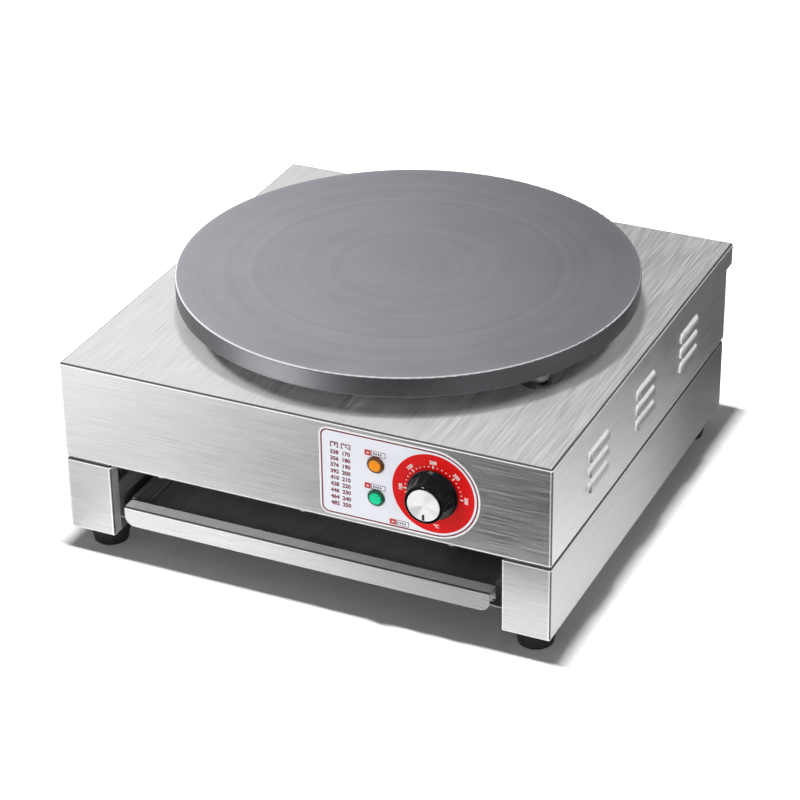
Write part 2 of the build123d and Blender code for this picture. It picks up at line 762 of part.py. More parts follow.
def element_ring(ring):
    """One ring: down-run, bend, almost a full turn, bend, down-run, as one tube."""
    turn = asin((lead_gap + lead_bend) / ring)
    drop = lead_bend * (1 - cos(radians(45)))
    with BuildPart() as element:
        with BuildLine():
            for side in (-1, 1):
                end = Vector(side * ring * sin(turn), plate_y + ring * cos(turn), element_z)
                along = Vector(-side * cos(turn), sin(turn), 0)
                half_way = end + along * (lead_bend * sin(radians(45))) - Vector(0, 0, drop)
                corner = end + along * lead_bend - Vector(0, 0, lead_bend)
                ThreePointArc(end, half_way, corner)
                Line(corner, (corner.X, corner.Y, lead_bottom))
            front = Vector(0, plate_y - ring, element_z)
            ThreePointArc(
                Vector(-ring * sin(turn), plate_y + ring * cos(turn), element_z),
                front,
                Vector(ring * sin(turn), plate_y + ring * cos(turn), element_z),
            )
        start = lead_place(ring, -1)
        with BuildSketch(Plane.XY.offset(lead_bottom)):
            with Locations(start):
                Circle(element_diameter / 2)
        sweep()
    return element.part


with BuildPart() as heating_elements:
    for ring in ring_radii:
        add(element_ring(ring))
write(heating_elements, "heating_elements")

# ---- Terminals: ceramic-bushed studs on the cold ends, brass links, and nuts --------------

terminal_bush_height = 6.0
terminal_stud_radius = 2.0
terminal_stud_length = 12.0
link_sheet = 1.0
link_radius = 4.5
bush_step = 0.5  # terminal bush's radius over the element's
bush_bottom = lead_bottom - terminal_bush_height
link_bottom = bush_bottom - link_sheet
terminal_end = bush_bottom - terminal_stud_length

with BuildPart() as element_terminals:
    with Locations(*[(x, y, lead_bottom) for x, y in lead_places]):
        Cylinder(element_diameter / 2 + bush_step, terminal_bush_height,
                 align=(Align.CENTER, Align.CENTER, Align.MAX))
    with Locations(*[(x, y, bush_bottom) for x, y in lead_places]):
        Cylinder(terminal_stud_radius, terminal_stud_length,
                 align=(Align.CENTER, Align.CENTER, Align.MAX))
write(element_terminals, "element_terminals")

with BuildPart() as terminal_links:
    for side in (-1, 1):
        ends = [lead_place(ring, side) for ring in ring_radii]
        with BuildSketch(Plane.XY.offset(link_bottom)):
            with Locations(*ends):
                Circle(link_radius)
            make_hull()
            with Locations(*ends):
                Circle(terminal_stud_radius + hole_gap, mode=Mode.SUBTRACT)
        extrude(amount=link_sheet)
write(terminal_links, "terminal_links")

m4_nut = hex_nut(terminal_stud_radius, *nut_m4)
with BuildPart() as terminal_nuts:
    with Locations(*[(x, y, link_bottom - nut_m4[1]) for x, y in lead_places]):
        add(m4_nut)
write(terminal_nuts, "terminal_nuts")

# ---- Clamp bars and screws that press the elements against the plate ----------------------

clamp_start = ring_radii[-1] - clamp_past_ring
clamp_end = pocket_radius - clamp_to_pocket

with BuildPart() as clamp_bars:
    for angle in clamp_angles:
        along = (cos(radians(angle)), sin(radians(angle)), 0)
        with BuildSketch(Plane(origin=(0, plate_y, clamp_top), x_dir=along)):
            with Locations(((clamp_start + clamp_end) / 2, 0)):
                RectangleRounded(clamp_end - clamp_start, clamp_width, clamp_corner)
            with Locations(*[(boss, 0) for boss in boss_radii]):
                Circle(clamp_screw_radius + hole_gap, mode=Mode.SUBTRACT)
        extrude(amount=-clamp_thickness)
write(clamp_bars, "clamp_bars")

clamp_bottom = clamp_top - clamp_thickness
thread_end_gap = 1.0  # a screw's end to the bottom of its thread
clamp_screw_length = clamp_thickness + boss_thread_depth - thread_end_gap
clamp_screw = pan_screw(clamp_screw_radius, clamp_screw_length, *head_m6)
with BuildPart() as clamp_screws:
    with Locations(*[Location((x, y, clamp_bottom), head_down) for x, y in clamp_places]):
        add(clamp_screw)
write(clamp_screws, "clamp_screws")

# ---- Insulation blanket and the heat shield pan that holds it up --------------------------

shield_radius = pocket_radius - shield_gap
insulation_top = clamp_bottom - head_m6[1] - fit_gap
insulation_bottom = insulation_top - insulation_thickness
shield_bottom = insulation_bottom - shield_sheet
lead_hole_radius = element_diameter / 2 + shield_clearance
shield_rim = 1.0  # the pan's wall reaches this far into the pocket

with BuildPart() as insulation_blanket:
    with BuildSketch(Plane.XY.offset(insulation_bottom)):
        with Locations((0, plate_y)):
            Circle(shield_radius - shield_sheet - fit_gap)
        with Locations(*lead_places):
            Circle(lead_hole_radius, mode=Mode.SUBTRACT)
        with Locations(*shield_places):
            Circle(shield_screw_radius + 2 * hole_gap, mode=Mode.SUBTRACT)
        with Locations((capillary_x, bulb_y)):
            Circle(capillary_radius + shield_clearance, mode=Mode.SUBTRACT)
    extrude(amount=insulation_thickness)
write(insulation_blanket, "insulation_blanket")

with BuildPart() as heat_shield:
    with BuildSketch(Plane.XY.offset(shield_bottom)):
        with Locations((0, plate_y)):
            Circle(shield_radius)
    extrude(amount=plate_bottom + shield_rim - shield_bottom)
    fillet(heat_shield.edges().group_by(Axis.Z)[0], bend_radius)
    with BuildSketch(Plane.XY.offset(insulation_bottom)):
        with Locations((0, plate_y)):
            Circle(shield_radius - shield_sheet)
    extrude(amount=plate_bottom + 2 * shield_rim - insulation_bottom, mode=Mode.SUBTRACT)
    with BuildSketch(Plane.XY.offset(shield_bottom)):
        with Locations(*lead_places):
            Circle(lead_hole_radius)
        with Locations(*shield_places):
            Circle(shield_screw_radius + hole_gap)
        with Locations((capillary_x, bulb_y)):
            Circle(capillary_radius + shield_clearance)
    extrude(amount=2 * shield_sheet, mode=Mode.SUBTRACT)
write(heat_shield, "heat_shield")

shield_screw_length = clamp_top - shield_bottom + boss_thread_depth - thread_in_plate
shield_screw = pan_screw(shield_screw_radius, shield_screw_length, *low_head_m5)
with BuildPart() as shield_screws:
    with Locations(*[Location((x, y, shield_bottom), head_down) for x, y in shield_places]):
        add(shield_screw)
write(shield_screws, "shield_screws")

# ---- Temperature sensor: bulb against the plate, its clip, and the capillary tube ---------

bulb_z = pocket_top - bulb_radius

with BuildPart() as sensor_bulb:
    with Locations((0, bulb_y, bulb_z)):
        Cylinder(bulb_radius, bulb_length, rotation=(0, 90, 0))
    fillet(sensor_bulb.edges().filter_by(GeomType.CIRCLE), bulb_end)
write(sensor_bulb, "sensor_bulb")

clip_height = 2 * bulb_radius + clip_sheet

with BuildPart() as bulb_clip:
    with BuildSketch(Plane.YZ.offset(-clip_width / 2)):
        with Locations((bulb_y, pocket_top)):
            Rectangle(2 * (bulb_radius + clip_sheet), clip_height, align=(Align.CENTER, Align.MAX))
            Rectangle(2 * bulb_radius + 2 * thread_gap, 2 * bulb_radius + thread_gap,
                      align=(Align.CENTER, Align.MAX), mode=Mode.SUBTRACT)
        with Locations((bulb_y - bulb_radius, pocket_top)):
            Rectangle(clip_tab, clip_sheet, align=(Align.MAX, Align.MAX))
    extrude(amount=clip_width)
    with Locations((*clip_screw_place, pocket_top)):
        Cylinder(screw_m4_radius + hole_gap, 4 * clip_sheet, mode=Mode.SUBTRACT)
write(bulb_clip, "bulb_clip")

clip_screw_form = pan_screw(screw_m4_radius, clip_screw_length, *head_m4)
with BuildPart() as clip_screw:
    with Locations(Location((*clip_screw_place, pocket_top - clip_sheet), head_down)):
        add(clip_screw_form)
write(clip_screw, "clip_screw")

thermostat_front = front_y + sheet
thermostat_back = thermostat_front + thermostat_depth


def bent_rod(points, radius, bend):
    """A round rod or wire through the points, with one bend radius at its corners."""
    with BuildPart() as rod:
        with BuildLine():
            route = FilletPolyline(*points, radius=bend)
        with BuildSketch(Plane(origin=route @ 0, z_dir=route % 0)):
            Circle(radius)
        sweep()
    return rod.part


capillary_low_z = deck_underside - stiffener_height - capillary_gap - capillary_radius
capillary_in_z = dial_z + 6.0
capillary_run = 13.0  # straight behind the thermostat, and again to the bend above it
capillary_route = [
    (bulb_length / 2, bulb_y, bulb_z),
    (capillary_x, bulb_y, bulb_z),
    (capillary_x, bulb_y, capillary_low_z),
    (dial_x, thermostat_back + 2 * capillary_run, capillary_low_z),
    (dial_x, thermostat_back + capillary_run, capillary_in_z),
    (dial_x, thermostat_back, capillary_in_z),
]
capillary_bends = [capillary_bend, capillary_bend, capillary_bend, capillary_bend / 2]

with BuildPart() as capillary_tube:
    add(bent_rod(capillary_route, capillary_radius, capillary_bends))
write(capillary_tube, "capillary_tube")

# ---- Thermostat: switch body with a bush, two screws and the turning spindle --------------

spindle_reach = label_thickness + knob_gap + spindle_in_knob
body_round = 2.0
bore_end_gap = 1.0  # the spindle's end to the bottom of its bore
screw_end_gap = 2.0

with BuildPart() as thermostat_body:
    with Locations((dial_x, thermostat_front, dial_z)):
        Box(thermostat_screw_spacing + 2 * thermostat_lug, thermostat_plate, 2 * thermostat_lug,
            align=(Align.CENTER, Align.MIN, Align.CENTER))
    with Locations((dial_x, thermostat_front + thermostat_plate, dial_z)):
        Box(thermostat_width, thermostat_depth - thermostat_plate, thermostat_width,
            align=(Align.CENTER, Align.MIN, Align.CENTER))
    fillet(thermostat_body.faces().sort_by(Axis.Y)[-1].edges(), body_round)
    with BuildSketch(Plane.XZ.offset(-thermostat_front)):
        with Locations((dial_x, dial_z)):
            Circle(bush_radius)
    extrude(amount=sheet)
    with BuildSketch(Plane.XZ.offset(-front_y)):
        with Locations((dial_x, dial_z)):
            Circle(spindle_radius + spindle_gap)
    extrude(amount=-(sheet + spindle_depth + bore_end_gap), mode=Mode.SUBTRACT)
    with BuildSketch(Plane.XZ.offset(-front_y)):
        with Locations(*[(x, dial_z) for x in thermostat_screw_x]):
            Circle(screw_m4_radius + thread_gap)
    extrude(amount=-(sheet + thermostat_screw_bite + screw_end_gap), mode=Mode.SUBTRACT)
write(thermostat_body, "thermostat_body")

thermostat_screw = pan_screw(screw_m4_radius, sheet + thermostat_screw_bite, *low_head_m4)
with BuildPart() as thermostat_screws:
    with Locations(*[Location((x, front_y, dial_z), head_front) for x in thermostat_screw_x]):
        add(thermostat_screw)
write(thermostat_screws, "thermostat_screws")


def spindle_section(gap):
    """The spindle's round section with its flat underneath, grown by a gap all round."""
    with BuildSketch(Plane.XZ) as section:
        with Locations((dial_x, dial_z)):
            Circle(spindle_radius + gap)
        with Locations((dial_x, dial_z - spindle_flat - gap)):
            Rectangle(4 * spindle_radius, 4 * spindle_radius, align=(Align.CENTER, Align.MAX),
                      mode=Mode.SUBTRACT)
    return section.sketch_local


with BuildPart() as thermostat_spindle:
    with BuildSketch(Plane.XZ.offset(-front_y)):
        add(spindle_section(0.0))
    extrude(amount=spindle_reach)
    with BuildSketch(Plane.XZ.offset(-front_y)):
        with Locations((dial_x, dial_z)):
            Circle(spindle_radius)
    extrude(amount=-(sheet + spindle_depth))
write(thermostat_spindle, "thermostat_spindle")

# ---- Knob: tapered, fluted, hollow behind, with a turned cap let into its front -----------

knob_back = front_y - label_thickness - knob_gap
knob_front = knob_back - knob_height
knob_skirt = 2.5
cap_depth = 1.5
hollow_depth = 10.0
mouth_depth = 3.0
mouth_radius = 18.7
hollow_radius = 15.5
hub_radius = 6.5
flute_radius = 2.2
flute_centre_radius = knob_body_radius + 0.55 * flute_radius
knob_edge = 1.5
cap_edge = 0.4
dial_axis = Axis((dial_x, 0, dial_z), (0, 1, 0))

with BuildPart() as knob:
    with BuildSketch(Plane.XY.offset(dial_z)):
        with BuildLine():
            Polyline(
                (dial_x, knob_front + cap_depth),
                (dial_x + cap_radius + thread_gap, knob_front + cap_depth),
                (dial_x + cap_radius + thread_gap, knob_front),
                (dial_x + knob_front_radius, knob_front),
                (dial_x + knob_body_radius, knob_back - knob_skirt),
                (dial_x + knob_skirt_radius, knob_back - knob_skirt),
                (dial_x + knob_skirt_radius, knob_back),
                (dial_x + mouth_radius, knob_back),
                (dial_x + mouth_radius, knob_back - mouth_depth),
                (dial_x + hollow_radius, knob_back - mouth_depth),
                (dial_x + hollow_radius, knob_back - hollow_depth),
                (dial_x + hub_radius, knob_back - hollow_depth),
                (dial_x + hub_radius, knob_back),
                (dial_x, knob_back),
                close=True,
            )
        make_face()
    revolve(axis=dial_axis)
    rim = knob.edges().filter_by(GeomType.CIRCLE).filter_by(
        lambda e: abs(e.radius - knob_front_radius) < nearly
        and abs(e.center().Y - knob_front) < nearly)
    fillet(rim, knob_edge)
    with BuildSketch(Plane.XZ.offset(-(knob_back - knob_skirt))):
        with Locations((dial_x, dial_z)):
            with PolarLocations(flute_centre_radius, knob_flutes):
                Circle(flute_radius)
    extrude(amount=knob_height, mode=Mode.SUBTRACT)
    with BuildSketch(Plane.XZ.offset(-knob_back)):
        add(spindle_section(thread_gap))
    extrude(amount=spindle_in_knob + bore_end_gap, mode=Mode.SUBTRACT)
write(knob, "knob")

with BuildPart() as knob_cap:
    with BuildSketch(Plane.XZ.offset(-(knob_front + cap_depth))):
        with Locations((dial_x, dial_z)):
            Circle(cap_radius)
    extrude(amount=cap_depth + cap_proud)
    fillet(knob_cap.faces().sort_by(Axis.Y)[0].edges(), cap_edge)
write(knob_cap, "knob_cap")

# ---- Control label: thin overlay with a round end about the knob --------------------------

label_height = box_height - 2 * label_margin
label_round = label_height / 2
label_left = dial_x + label_round - label_length

with BuildPart() as control_label:
    with BuildSketch(Plane.XZ.offset(-front_y)) as outline:
        with Locations((dial_x, dial_z)):
            Rectangle(dial_x - label_left, label_height, align=(Align.MAX, Align.CENTER))
            Circle(label_round)
        fillet(outline.vertices().group_by(Axis.X)[0], label_corner)
        with Locations((dial_x, dial_z)):
            Circle(mouth_radius, mode=Mode.SUBTRACT)
        with Locations(*lamp_places.values()):
            Circle(lamp_barrel_radius + hole_gap, mode=Mode.SUBTRACT)
    extrude(amount=label_thickness)
write(control_label, "control_label")

# ---- Pilot lamps: coloured lenses outside, threaded barrels and ring nuts inside ----------

label_face = front_y - label_thickness
lens_face_radius = lens_radius - 1.6
lens_draft = 0.5  # the lens tapers by this much to its face
lens_flange = 1.4
lens_edge = 0.8

for colour, (x, z) in lamp_places.items():
    with BuildPart() as lens:
        with BuildSketch(Plane.XY.offset(z)):
            with BuildLine():
                Polyline(
                    (x, label_face),
                    (x + lens_radius, label_face),
                    (x + lens_radius, label_face - lens_flange),
                    (x + lens_face_radius + lens_draft, label_face - lens_flange),
                    (x + lens_face_radius, label_face - lens_reach),
                    (x, label_face - lens_reach),
                    close=True,
                )
            make_face()
        revolve(axis=Axis((x, 0, z), (0, 1, 0)))
        fillet(lens.faces().sort_by(Axis.Y)[0].edges(), lens_edge)
    write(lens, f"{colour}_lens")

with BuildPart() as lamp_bodies:
    with BuildSketch(Plane.XZ.offset(-label_face)):
        with Locations(*lamp_places.values()):
            Circle(lamp_barrel_radius)
    extrude(amount=-lamp_barrel_length)
    with BuildSketch(Plane.XZ.offset(-(label_face + lamp_barrel_length))):
        with Locations(*lamp_places.values()):
            Circle(lamp_barrel_radius - lamp_pin_step)
    extrude(amount=-lamp_pin)
write(lamp_bodies, "lamp_bodies")

with BuildPart() as lamp_nuts:
    with BuildSketch(Plane.XZ.offset(-(front_y + sheet))):
        with Locations(*lamp_places.values()):
            RegularPolygon(lamp_nut[0] / 2, 6, major_radius=False)
            Circle(lamp_barrel_radius + thread_gap, mode=Mode.SUBTRACT)
    extrude(amount=-lamp_nut[1])
write(lamp_nuts, "lamp_nuts")

# ---- Mains inlet: cable gland, terminal block, earth stud and inside wires ----------------

gland_collet_reach = gland_reach - gland_collet_short

with BuildPart() as gland_body:
    with BuildSketch(Plane.XZ.offset(-body_back)):
        with Locations((gland_x, gland_z)):
            RegularPolygon(gland_hex_flats / 2, 6, major_radius=False)
    extrude(amount=-gland_hex)
    with BuildSketch(Plane.XZ.offset(-body_back)):
        with Locations((gland_x, gland_z)):
            Circle(gland_thread_radius)
    extrude(amount=gland_inner)
    with BuildSketch(Plane.XZ.offset(-body_back)):
        with Locations((gland_x, gland_z)):
            Circle(gland_collet_radius)
    extrude(amount=-gland_collet_reach)
    with Locations((gland_x, body_back, gland_z)):
        Cylinder(cable_bore_radius, 6 * gland_reach, rotation=head_back, mode=Mode.SUBTRACT)
write(gland_body, "gland_body")

with BuildPart() as gland_nut:
    with BuildSketch(Plane.XZ.offset(-(body_back + gland_hex))):
        with Locations((gland_x, gland_z)):
            RegularPolygon(gland_hex_flats / 2, 6, major_radius=False)
    extrude(amount=-(gland_reach - gland_hex))
    fillet(gland_nut.faces().sort_by(Axis.Y)[-1].edges(), gland_nut_round)
    with BuildSketch(Plane.XZ.offset(-(body_back + gland_hex))):
        with Locations((gland_x, gland_z)):
            Circle(gland_collet_radius + thread_gap)
    extrude(amount=-(gland_collet_reach - gland_hex), mode=Mode.SUBTRACT)
    with Locations((gland_x, body_back, gland_z)):
        Cylinder(cable_bore_radius, 6 * gland_reach, rotation=head_back, mode=Mode.SUBTRACT)
write(gland_nut, "gland_nut")

with BuildPart() as gland_locknut:
    with BuildSketch(Plane.XZ.offset(-(body_back - sheet))):
        with Locations((gland_x, gland_z)):
            RegularPolygon(gland_locknut_size[0] / 2, 6, major_radius=False)
            Circle(gland_thread_radius + thread_gap, mode=Mode.SUBTRACT)
    extrude(amount=gland_locknut_size[1])
write(gland_locknut, "gland_locknut")

port_x = [gland_x + port_pitch * (n - (block_ports - 1) / 2) for n in range(block_ports)]
port_z = seam_z + port_height
block_front = block_y - block_depth / 2
block_rear = block_y + block_depth / 2
block_top = seam_z + block_height
block_screw_bite = 7.0

with BuildPart() as terminal_block:
    with Locations((gland_x, block_y, seam_z)):
        Box(block_length, block_depth, block_height, align=(Align.CENTER, Align.CENTER, Align.MIN))
    fillet(terminal_block.edges().filter_by(Axis.Z), block_corner)
    with BuildSketch(Plane.XY.offset(block_top)):
        with Locations(*[(x, block_y) for x in port_x]):
            Circle(screw_m4_radius + thread_gap)
    extrude(amount=-(block_screw_bite + thread_end_gap), mode=Mode.SUBTRACT)
    for face in (block_rear, block_front):
        with BuildSketch(Plane.XZ.offset(-face)):
            with Locations(*[(x, port_z) for x in port_x]):
                Circle(port_radius)
        extrude(amount=port_depth, both=True, mode=Mode.SUBTRACT)
write(terminal_block, "terminal_block")

block_screw = pan_screw(screw_m4_radius, block_screw_bite, *grub_head_m4)
with BuildPart() as terminal_screws:
    with Locations(*[(x, block_y, block_top) for x in port_x]):
        add(block_screw)
write(terminal_screws, "terminal_screws")

earth_chamfer = 0.5
with BuildPart() as earth_stud:
    with Locations((*earth_place, base_top)):
        Cylinder(earth_radius, earth_height, align=(Align.CENTER, Align.CENTER, Align.MIN))
    chamfer(earth_stud.edges().group_by(Axis.Z)[-1], earth_chamfer)
write(earth_stud, "earth_stud")

with BuildPart() as earth_nut:
    with Locations((*earth_place, seam_z)):
        add(m5_nut)
write(earth_nut, "earth_nut")

lamp_back = label_face + lamp_barrel_length + lamp_pin
outer_left = lead_place(ring_radii[0], -1)
outer_right = lead_place(ring_radii[0], 1)
wire_start = block_front + port_depth - wire_end_gap
low_z = port_z + 6.0
line_x, load_x = dial_x - 9.0, dial_x + 9.0
switch_z = dial_z - 8.0
link_low_z = terminal_end - 28.0
# Each wire's way: straight out of its port, across below the elements, up to its terminal
wire_routes = {
    # neutral to the left-hand link of the elements
    "neutral": [
        (port_x[3], wire_start, port_z),
        (port_x[3], block_front - 20.0, port_z),
        (outer_left[0] - 50.0, block_front - 24.0, low_z),
        (*outer_left, link_low_z),
        (*outer_left, terminal_end),
    ],
    # mains line to the thermostat
    "line": [
        (port_x[2], wire_start, port_z),
        (port_x[2], block_front - 32.0, port_z),
        (dial_x - 36.0, plate_y - 96.0, low_z),
        (line_x, thermostat_back + 30.0, switch_z),
        (line_x, thermostat_back, switch_z),
    ],
    # thermostat to the right-hand link
    "load": [
        (load_x, thermostat_back, switch_z),
        (load_x, thermostat_back + 30.0, switch_z),
        (dial_x - 20.0, plate_y, switch_z - 8.0),
        (*outer_right, link_low_z),
        (*outer_right, terminal_end),
    ],
    # the two lamps
    "amber": [
        (lamp_x, lamp_back, lamp_places["amber"][1]),
        (lamp_x, lamp_back + 26.0, lamp_places["amber"][1]),
        (lamp_x - 22.0, plate_y - 102.0, low_z + 4.0),
        (port_x[1], block_front - 48.0, port_z),
        (port_x[1], wire_start, port_z),
    ],
    "green": [
        (lamp_x, lamp_back, lamp_places["green"][1]),
        (lamp_x, lamp_back + 22.0, lamp_places["green"][1]),
        (lamp_x - 40.0, plate_y - 106.0, low_z),
        (port_x[0], block_front - 64.0, port_z),
        (port_x[0], wire_start, port_z),
    ],
}

with BuildPart() as internal_wires:
    for points in wire_routes.values():
        add(bent_rod(points, wire_radius, wire_bend))
write(internal_wires, "internal_wires")

# ---- Tray: folded pan, bent handle strip and the rivets between them ----------------------

tray_width = 2 * (leg_inner_x - tray_side_gap)
handle_length = tray_width - 2 * handle_inset
handle_front = front_y + handle_setback
tray_front = handle_front + handle_depth
tray_back = body_back - leg_return - tray_end_gap
tray_depth = tray_back - tray_front
rivet_z = tray_rim_z - rivet_drop
rivet_x = [handle_length * (n - (rivets - 1) / 2) / rivets for n in range(rivets)]

with BuildPart() as tray_pan:
    with BuildSketch(Plane.XY.offset(tray_bottom)):
        with Locations((0, tray_front)):
            Rectangle(tray_width - 2 * tray_rim, tray_depth - tray_rim,
                      align=(Align.CENTER, Align.MIN))
    extrude(amount=tray_height)
    fillet(tray_pan.edges().filter_by(Axis.Z), tray_corner)
    fillet(tray_pan.edges().group_by(Axis.Z)[0], bend_radius)
    offset(amount=-tray_sheet, openings=tray_pan.faces().sort_by(Axis.Z)[-1])
    # Rim folded outwards along both sides and the back
    with BuildSketch(Plane.XY.offset(tray_rim_z - tray_sheet)):
        with Locations((0, tray_front + tray_corner)):
            Rectangle(tray_width, tray_depth - tray_corner, align=(Align.CENTER, Align.MIN))
            Rectangle(tray_width - 2 * tray_rim - tray_sheet,
                      tray_depth - tray_rim - tray_corner - tray_sheet / 2,
                      align=(Align.CENTER, Align.MIN), mode=Mode.SUBTRACT)
    extrude(amount=tray_sheet)
    with BuildSketch(Plane.XZ.offset(-tray_front)):
        with Locations(*[(x, rivet_z) for x in rivet_x]):
            Circle(rivet_radius + thread_gap)
    extrude(amount=-2 * tray_sheet, mode=Mode.SUBTRACT)
write(tray_pan, "tray_pan")

with BuildPart() as tray_handle:
    with BuildSketch(Plane.YZ.offset(-handle_length / 2)):
        with BuildLine():
            Polyline(
                (tray_front, tray_rim_z - handle_leg),
                (tray_front, tray_rim_z),
                (handle_front, tray_rim_z),
                (handle_front, tray_rim_z - handle_height),
                (handle_front + tray_sheet, tray_rim_z - handle_height),
                (handle_front + tray_sheet, tray_rim_z - tray_sheet),
                (tray_front - tray_sheet, tray_rim_z - tray_sheet),
                (tray_front - tray_sheet, tray_rim_z - handle_leg),
                close=True,
            )
        make_face()
    extrude(amount=handle_length)
    bends = tray_handle.edges().filter_by(Axis.X).group_by(Axis.Z)[-1]
    fillet(bends.sort_by(Axis.Y)[0], bend_radius)
    corners = tray_handle.edges().filter_by(Axis.Y).filter_by(
        lambda e: abs(e.center().Z - (tray_rim_z - handle_height)) < nearly)
    fillet(corners, handle_corner)
    with BuildSketch(Plane.XZ.offset(-(tray_front - 2 * tray_sheet))):
        with Locations(*[(x, rivet_z) for x in rivet_x]):
            Circle(rivet_radius + thread_gap)
    extrude(amount=-2 * tray_sheet, mode=Mode.SUBTRACT)
write(tray_handle, "tray_handle")

with BuildPart() as tray_rivets:
    for x in rivet_x:
        with Locations(Location((x, tray_front - tray_sheet, rivet_z), head_front)):
            Cylinder(*rivet_head, align=(Align.CENTER, Align.CENTER, Align.MIN))
            Cylinder(rivet_radius, 2 * tray_sheet, align=(Align.CENTER, Align.CENTER, Align.MAX))
        with Locations(Location((x, tray_front + tray_sheet, rivet_z), head_back)):
            Cylinder(*rivet_tail, align=(Align.CENTER, Align.CENTER, Align.MIN))
write(tray_rivets, "tray_rivets")

# ---- Screws and bolts of the housing ------------------------------------------------------

floor_screw = pan_screw(screw_m4_radius, floor_sheet + sheet + screw_past_sheet, *head_m4)
floor_screw_places = front_screws + rear_floor_screws
with BuildPart() as floor_screws:
    with Locations(*[Location((x, y, base_top), head_down) for x, y in floor_screw_places]):
        add(floor_screw)
write(floor_screws, "floor_screws")

leg_stack = base_sheet + floor_sheet + sheet
leg_bolt = pan_screw(screw_m5_radius, leg_stack + nut_m5[1] + screw_past_nut, *head_m5)
leg_bolt_z = base_top - base_sheet
with BuildPart() as leg_bolts:
    with Locations(*[Location((x, y, leg_bolt_z), head_down) for x, y in leg_bolt_places]):
        add(leg_bolt)
write(leg_bolts, "leg_bolts")

with BuildPart() as leg_nuts:
    with Locations(*[(x, y, seam_z + sheet) for x, y in leg_bolt_places]):
        add(m5_nut)
write(leg_nuts, "leg_nuts")

rear_screw = pan_screw(screw_m4_radius, 2 * sheet + screw_past_sheet, *head_m4)
with BuildPart() as rear_screws:
    with Locations(*[Location((x, body_back, z), head_back) for x, z in rear_screw_places]):
        add(rear_screw)
write(rear_screws, "rear_screws")

skirt_stack = 2 * base_sheet + fit_gap
skirt_screw = pan_screw(screw_m4_radius, skirt_stack + screw_past_sheet - sheet, *head_m4)
skirt_head_x = leg_inner_x - fit_gap - base_sheet
with BuildPart() as skirt_screws:
    for side in (-1, 1):
        with Locations(*[Location((side * skirt_head_x, y, z), (0, -90 * side, 0))
                         for y, z in skirt_screw_places]):
            add(skirt_screw)
write(skirt_screws, "skirt_screws")
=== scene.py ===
from math import cos, pi, radians, sin

import bmesh
import bpy
import numpy as np
from mathutils import Matrix, Vector


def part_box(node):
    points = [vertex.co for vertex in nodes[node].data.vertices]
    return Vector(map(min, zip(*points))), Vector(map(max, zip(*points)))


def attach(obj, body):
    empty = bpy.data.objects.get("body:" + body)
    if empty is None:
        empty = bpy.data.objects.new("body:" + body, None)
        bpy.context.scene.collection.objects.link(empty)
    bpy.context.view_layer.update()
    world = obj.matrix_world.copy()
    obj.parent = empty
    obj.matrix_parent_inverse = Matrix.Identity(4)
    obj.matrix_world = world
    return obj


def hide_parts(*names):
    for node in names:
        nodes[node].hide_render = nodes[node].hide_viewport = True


# Looks of an electric crepe maker, put on piece by piece as the machine is put together: camera and
# studio, folded steel, griddle plate, control panel, tray, feet, then what is inside. Lengths are
# metres in the machine's own frame: front towards -Y, +Z up, feet on z = 0.

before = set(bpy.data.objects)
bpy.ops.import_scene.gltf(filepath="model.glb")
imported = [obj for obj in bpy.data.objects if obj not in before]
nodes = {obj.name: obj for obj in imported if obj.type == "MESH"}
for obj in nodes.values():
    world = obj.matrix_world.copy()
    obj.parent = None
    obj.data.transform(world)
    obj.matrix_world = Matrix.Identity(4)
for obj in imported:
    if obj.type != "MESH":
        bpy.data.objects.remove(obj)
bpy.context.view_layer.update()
mm = 0.001

# ---- Camera -------------------------------------------------------------------------------
# A long lens looks down from the front right, a little tilted, from about two and a half metres.
# Its direction is given by the angles from the machine's middle to the lens.

view_turn = radians(24.967)
view_rise = radians(29.252)
view_roll = radians(-0.77)
view_distance = 2.4316
view_target = Vector((-0.0177, 0.0239, 0.0687))

focal_length = 122.65
film_width = 36.0
nearest, farthest = 0.05, 60.0

across_floor = cos(view_rise)
to_lens = Vector((sin(view_turn) * across_floor, -cos(view_turn) * across_floor, sin(view_rise)))
lens = bpy.data.cameras.new("studio_camera")
lens.lens = focal_length
lens.sensor_width = film_width
lens.clip_start, lens.clip_end = nearest, farthest
camera = bpy.data.objects.new("studio_camera", lens)
aim = to_lens.to_track_quat("Z", "Y").to_matrix() @ Matrix.Rotation(view_roll, 3, "Z")
camera.matrix_world = Matrix.Translation(view_target + to_lens * view_distance) @ aim.to_4x4()
bpy.context.scene.collection.objects.link(camera)
bpy.context.scene.camera = camera
bpy.context.scene.view_settings.view_transform = "Standard"

# ---- Studio floor -------------------------------------------------------------------------
# A sweep of matt white paper that runs out of sight, so that the machine stands on plain white
# and only its soft shadow shows. It is also where the finishes' tools are first needed.


